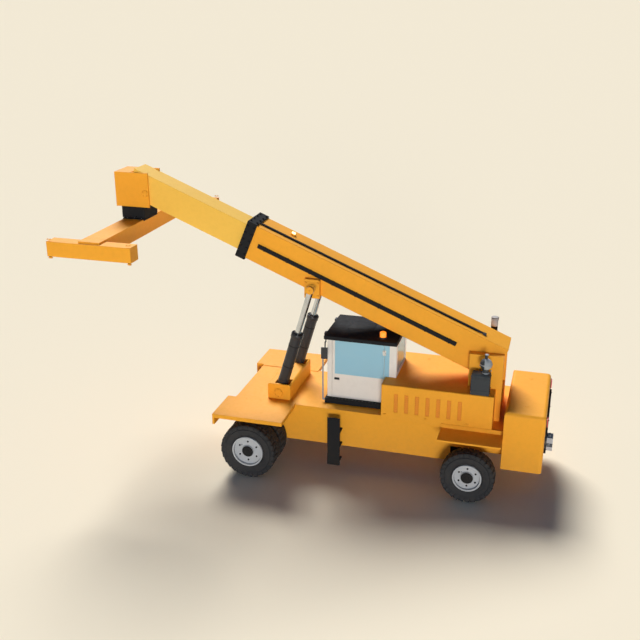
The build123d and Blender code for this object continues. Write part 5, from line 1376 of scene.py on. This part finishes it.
class REACHSTACKER_OT_build_spreader_details(ReachStackerOperator, bpy.types.Operator):
    """Adds pin caps, bolts, oil lines, guide plates and lock covers to the head and spreader"""

    bl_idname = "reach_stacker.build_spreader_details"
    bl_label = "Build Spreader Details"

    HEAD_PIN = Vector((4.94202, 0.0, 7.25857))
    NOSE_X = 5.34202
    LOCKS = (1.1295, 2.9265, 6.07177)

    def execute(self, context):
        low, high = corners("boom_head")
        bm = bmesh.new()
        for side in (LEFT, RIGHT):
            out = Vector((0, side, 0))
            seat = Vector((self.HEAD_PIN.x, side * high.y, self.HEAD_PIN.z))
            add_cap(bm, seat, out, 0.100, (RING_GAP, 0.010, 0.018), 0.008, 0.020)
            for spoke in spokes(4):
                add_bolt(bm, seat + spoke * 0.070 + out * 0.018, out, 0.022)
        finished_piece(bm, "head_pin_caps", "body enamel", "head")

        low, high = corners("rotator_housing")
        bm = bmesh.new()
        middle = Vector((self.NOSE_X, 0, low.z))
        for side in (LEFT, RIGHT):
            for x in (-0.26, -0.09, 0.09, 0.26):
                for z in (0.035, high.z - low.z - 0.035):
                    add_bolt(bm, middle + Vector((x, side * high.y, z)), (0, side, 0), 0.030)
        finished_piece(bm, "rotator_bolts", "satin trim enamel", "head")
        low, high = corners("slew_table")
        bm = bmesh.new()
        for side in (LEFT, RIGHT):
            for x in (-0.22, 0.0, 0.22):
                add_bolt(bm, (self.NOSE_X + x, side * (high.y - 0.05), high.z - 0.024), UP, 0.018)
        finished_piece(bm, "table_bolts", "zinc-plated steel", "slew")

        low, high = corners("spreader_beam")
        bm, clips = bmesh.new(), bmesh.new()
        for z in (low.z + 0.10, low.z + 0.15):
            x = high.x + 0.016
            add_rod(bm, (x, low.y + 0.25, z), (x, high.y - 0.25, z), 0.013, segments=14)
        for i in range(9):
            y = low.y + 0.45 + i * (high.y - low.y - 0.90) / 8
            add_block(
                clips, (high.x + RING_GAP, y - 0.02, low.z + 0.075),
                (high.x + 0.034, y + 0.02, low.z + 0.175), 0.004)
        finished_piece(bm, "spreader_oil_lines", "hose rubber", "spreader")
        finished_piece(clips, "oil_line_clips", "body enamel", "spreader")
        bm = bmesh.new()
        for side in (LEFT, RIGHT):
            edge = side * high.y
            y = span(side, high.y - 0.12, high.y + 0.003)
            for x in ((low.x - 0.006, low.x - GAP), (high.x + GAP, high.x + 0.006)):
                add_block(bm, (x[0], y[0], low.z + 0.22), (x[1], y[1], high.z - 0.05), 0.002)
                for z in (low.z + 0.26, high.z - 0.09):
                    out = 1 if x[0] > self.NOSE_X else -1
                    add_bolt(bm, (x[1] if out > 0 else x[0], edge - side * 0.06, z), (out, 0, 0), 0.022)
        finished_piece(bm, "spreader_guide_plates", "body enamel", "spreader")

        lock_x, lock_y, lock_z = self.LOCKS
        for name, side in SIDES:
            low, high = corners("end_beam_" + name)
            bm = bmesh.new()
            for way in (-1, 1):
                lock = Vector((self.NOSE_X + way * lock_x, side * lock_y, lock_z))
                add_turned(
                    bm, [(0.0275, -0.022), (0.034, -0.022), (0.038, -0.016), (0.038, -GAP), (0.0275, -GAP)],
                    lock, UP, 32)
            finished_piece(
                bm, "lock_collars_" + name, "satin trim enamel", "spreader_" + name)
            bm = bmesh.new()
            for way in (-1, 1):
                place = Vector((self.NOSE_X + way * lock_x, side * lock_y, high.z))
                add_box(bm, place, (0.06, 0.032, 0.002), 0.002, ahead=(0.06, 0.032, 0.006))
                for dx in (-0.04, 0.04):
                    add_bolt(bm, place + Vector((dx, 0, 0.005)), UP, 0.020)
            finished_piece(bm, "lock_covers_" + name, "body enamel", "spreader_" + name)
        return {"FINISHED"}


class REACHSTACKER_OT_build_chassis_details(ReachStackerOperator, bpy.types.Operator):
    """Adds step studs, fender bolts, drive lamps, hoses and the driveline to the chassis"""

    bl_idname = "reach_stacker.build_chassis_details"
    bl_label = "Build Chassis Details"

    TREADS = (0.42, 0.85, 1.28)
    STEP_X = (-0.952, -0.602)
    STEP_Y = (1.27, 1.46)
    # Front and rear fenders: the bolts' places along the machine, across it and up.
    FENDER_BOLTS = (
        ((0.56, 0.98, 1.40, 1.82, 2.24), 1.24, 1.812), ((-5.15, -4.75, -4.35, -3.95), 1.28, 1.682))
    # The guard's dark side skirts stand in the rear wheel arches ahead of the tyres: painted shade there,
    # which also hides the floor beyond.
    GUARD_AND_SHADE_SKIRTS = (-4.19, -3.60, 0.80)     # rear end, front end and bottom of the guard under the engine

    def execute(self, context):
        bm = bmesh.new()
        for side in (LEFT, RIGHT):
            for z in self.TREADS:
                for i in range(7):
                    for j in range(4):
                        x = self.STEP_X[0] + 0.03 + i * 0.048
                        y = side * (self.STEP_Y[0] + 0.02 + j * 0.048)
                        add_rod(bm, (x, y, z - 0.001), (x, y, z + 0.006), 0.012, 0.007, 10)
        finished_piece(bm, "step_studs", "satin trim enamel")

        bm = bmesh.new()
        for side in (LEFT, RIGHT):
            for places, y, z in self.FENDER_BOLTS:
                for x in places:
                    add_bolt(bm, (x, side * y, z), UP, 0.020)
        finished_piece(bm, "fender_bolts", "body enamel")

        high = corners("chassis_frame")[1]
        shells, lenses = bmesh.new(), bmesh.new()
        for side in (LEFT, RIGHT):
            for y, radius in ((0.86, 0.085), (0.62, 0.060)):
                seat = Vector((high.x, side * y, 1.50))
                add_turned(
                    shells, [(0.0, -0.001), (radius, -0.001), (radius, 0.045), (radius - 0.008, 0.052),
                    (radius - 0.016, 0.045), (radius - 0.020, 0.030), (0.0, 0.030)], seat, (1, 0, 0), 40)
                add_turned(
                    lenses, [(0.0, 0.028), (radius - 0.021, 0.028), (radius - 0.024, 0.038), (0.0, 0.046)],
                    seat, (1, 0, 0), 36)
        finished_piece(shells, "drive_lamp_shells", "black moulded plastic")
        finished_piece(lenses, "drive_lamp_lenses", "clear lamp lens")
        bm = bmesh.new()
        for side in (LEFT, RIGHT):
            place = Vector((high.x - GAP, side * 0.35, 1.05))
            add_box(bm, place, (0.0, 0.05, 0.09), 0.004, ahead=(0.016, 0.05, 0.09))
            add_tube_ring(bm, place + Vector((0.052, 0, 0)), ACROSS, 0.044, 0.013, 32)
        finished_piece(bm, "tow_eyes", "body enamel")

        bm = bmesh.new()
        top = 0.636
        add_boom_block(bm, (0.36, 0.44), (0.14, 0.29), (top - 0.002, top + 0.035), 0.006)
        for y in (0.165, 0.215, 0.265):
            add_hose(
                bm, [boom_point(0.43, y, top + 0.020), boom_point(0.50, y, top + 0.022),
                boom_point(0.56, y, top + 0.018), boom_point(0.62, y, top + 0.018)], 0.010)
        finished_piece(bm, "boom_hose_block", "hose rubber", "boom")
        self.build_driveline()
        return {"FINISHED"}

    def build_driveline(self):
        """The gearbox, the shaft to the front axle, and the guard under the engine, whose dark side skirts
        are painted shade in the rear wheel arches.
        """
        engine_high = corners("engine_block")[1]
        frame_high = corners("chassis_frame")[1]
        axle_low, axle_high = corners("front_axle")
        bm = bmesh.new()
        rear, front = engine_high.x - 0.10, engine_high.x + 0.95
        add_block(bm, (rear, -0.34, 1.15), (front, 0.34, frame_high.z - 0.038), 0.03)
        add_block(bm, (rear + 0.10, -0.28, 1.00), (front - 0.10, 0.28, 1.18), 0.03)
        for i in range(5):
            x = rear + 0.15 + i * 0.18
            add_block(bm, (x, -0.36, 1.20), (x + 0.025, 0.36, frame_high.z - 0.06), 0.006)
        start = Vector((front, 0, 1.12))
        end = Vector((axle_low.x, 0, (axle_low.z + axle_high.z) / 2))
        add_rod(bm, start - Vector((0.05, 0, 0)), start + Vector((0.05, 0, 0)), 0.11)
        add_rod(bm, end - Vector((0.16, 0, 0)), end + Vector((0.02, 0, 0)), 0.15)
        finished_piece(bm, "gearbox", "cast steel")
        bm = bmesh.new()
        along = (end - start).normalized()
        add_rod(bm, start + along * 0.20, end - along * 0.28, 0.055)
        for joint, way in ((start, 1), (end - along * 0.10, -1)):
            add_rod(bm, joint + along * way * 0.03, joint + along * way * 0.09, 0.095)
            for side in (LEFT, RIGHT):
                place = joint + along * way * 0.13 + Vector((0, side * 0.062, 0))
                add_box(bm, place, (0.07, 0.016, 0.035), 0.006)
            add_rod(
                bm, joint + along * way * 0.15 - Vector((0, 0.085, 0)),
                joint + along * way * 0.15 + Vector((0, 0.085, 0)), 0.026)
        finished_piece(bm, "propeller_shaft", "satin trim enamel")
        bm = bmesh.new()
        rear, front, bottom = self.GUARD_AND_SHADE_SKIRTS
        # Dark side skirts: painted shade in the rear wheel arches, hiding the floor beyond.
        for side in (LEFT, RIGHT):
            y = span(side, 1.044, 1.050)
            add_block(bm, (rear, y[0], bottom), (front, y[1], frame_high.z - 0.038), 0.001)
            for x in (rear + 0.10, front - 0.10):
                y = span(side, 1.010, 1.046)
                add_block(
                    bm, (x - 0.02, y[0], bottom + 0.01), (x + 0.02, y[1], frame_high.z - 0.039), 0.003)
        add_block(bm, (rear, -1.050, bottom - 0.006), (front, 1.050, bottom + 0.001), 0.001)
        for i in range(6):
            x = rear + 0.09 + i * (front - rear - 0.18) / 5
            add_block(bm, (x - 0.012, -0.90, bottom - 0.016), (x + 0.012, 0.90, bottom - 0.005), 0.003)
        finished_piece(bm, "engine_guard_and_painted_shade", "satin trim enamel")


class REACHSTACKER_OT_build_stage(ReachStackerOperator, bpy.types.Operator):
    """Lays the studio floor and sets its lights and camera"""

    bl_idname = "reach_stacker.build_stage"
    bl_label = "Build Stage"

    # The camera stands 12.7 m up, 22 m off the left side, looking down at the machine.
    CAMERA_PLACE = Vector((-6.360, 22.32, 12.668))
    CAMERA_YAW, CAMERA_PITCH = 0.279, 0.361
    # Each sun: towards it, strength, softness as the angle it fills, colour.
    SUNS = (
        ("key sun", (0.44, -0.80, 1.0), 4.12, 26.0, "FFFFFF"),
        ("fill sun", (-0.25, 1.0, 0.03), 2.4, 16.0, "FFFFFF"),
    )
    ROOM_LIGHT = 0.11
    LENS, SENSOR = 50.0, 36.0
    NEAR, FAR = 0.1, 10000.0

    def execute(self, context):
        scene = context.scene
        scene.view_settings.view_transform = "Standard"
        bm = bmesh.new()
        bmesh.ops.create_grid(bm, x_segments=1, y_segments=1, size=sizes().floor_size)
        mesh = bpy.data.meshes.new("studio_floor")
        bm.to_mesh(mesh)
        bm.free()
        floor = bpy.data.objects.new("studio_floor", mesh)
        scene.collection.objects.link(floor)
        mesh.materials.append(finish("studio floor"))
        for name, towards, strength, fills, code in self.SUNS:
            data = bpy.data.lights.new(name, "SUN")
            data.energy = strength
            data.angle = math.radians(fills)
            data.color = linear(code)[:3]
            sun = bpy.data.objects.new(name, data)
            sun.rotation_euler = Vector(towards).to_track_quat("Z", "Y").to_euler()
            scene.collection.objects.link(sun)
        world = bpy.data.worlds.new("studio")
        world.use_nodes = True
        room = world.node_tree.nodes["Background"]
        room.inputs["Color"].default_value = linear("7CB4FF")
        room.inputs["Strength"].default_value = self.ROOM_LIGHT
        # Over the floor's edge the camera sees a pale backdrop that lights nothing.
        tree = world.node_tree
        backdrop = add_node(tree, "ShaderNodeBackground", {"Color": linear("EFE6D6")})
        rays = add_node(tree, "ShaderNodeLightPath")
        seen = add_node(
            tree, "ShaderNodeMixShader", {0: rays.outputs["Is Camera Ray"], 1: room.outputs["Background"],
            2: backdrop.outputs["Background"]})
        tree.links.new(seen.outputs["Shader"], tree.nodes["World Output"].inputs["Surface"])
        scene.world = world
        data = bpy.data.cameras.new("camera")
        data.lens = self.LENS
        data.sensor_width = self.SENSOR
        data.clip_start = self.NEAR
        data.clip_end = self.FAR
        camera = bpy.data.objects.new("camera", data)
        camera.location = self.CAMERA_PLACE
        look = Vector(
            (math.sin(self.CAMERA_YAW) * math.cos(self.CAMERA_PITCH),
            -math.cos(self.CAMERA_YAW) * math.cos(self.CAMERA_PITCH), -math.sin(self.CAMERA_PITCH)))
        camera.rotation_euler = look.to_track_quat("-Z", "Y").to_euler()
        scene.collection.objects.link(camera)
        scene.camera = camera
        return {"FINISHED"}


# ------------------------------------------------------------------ the add-on
OPERATORS = (
    REACHSTACKER_OT_paint_frame,
    REACHSTACKER_OT_build_tyres,
    REACHSTACKER_OT_build_wheel_trim,
    REACHSTACKER_OT_build_windows,
    REACHSTACKER_OT_build_cab_trim,
    REACHSTACKER_OT_build_operator_place,
    REACHSTACKER_OT_build_hood_details,
    REACHSTACKER_OT_build_rear_details,
    REACHSTACKER_OT_build_boom_details,
    REACHSTACKER_OT_build_cylinder_details,
    REACHSTACKER_OT_build_spreader_details,
    REACHSTACKER_OT_build_chassis_details,
    REACHSTACKER_OT_build_stage,
)


class REACHSTACKER_PT_panel(bpy.types.Panel):
    """Lists the sizes, the colours and one button for each group of pieces"""

    bl_idname = "REACHSTACKER_PT_panel"
    bl_label = "Reach Stacker"
    bl_space_type = "VIEW_3D"
    bl_region_type = "UI"
    bl_category = "Reach Stacker"

    def draw(self, context):
        layout = self.layout
        for group in (context.scene.reach_stacker_sizes, context.scene.reach_stacker_colours):
            box = layout.box()
            for name in group.bl_rna.properties.keys():
                if name not in ("rna_type", "name"):
                    box.prop(group, name)
        for operator in OPERATORS:
            layout.operator(operator.bl_idname)


CLASSES = (ReachStackerSizes, ReachStackerColours, *OPERATORS, REACHSTACKER_PT_panel)


def register():
    for cls in CLASSES:
        bpy.utils.register_class(cls)
    bpy.types.Scene.reach_stacker_sizes = bpy.props.PointerProperty(type=ReachStackerSizes)
    bpy.types.Scene.reach_stacker_colours = bpy.props.PointerProperty(type=ReachStackerColours)


def unregister():
    del bpy.types.Scene.reach_stacker_colours
    del bpy.types.Scene.reach_stacker_sizes
    for cls in reversed(CLASSES):
        bpy.utils.unregister_class(cls)


def main():
    register()
    for operator in OPERATORS:
        group, name = operator.bl_idname.split(".")
        getattr(getattr(bpy.ops, group), name)()


if __name__ == "__main__":
    main()
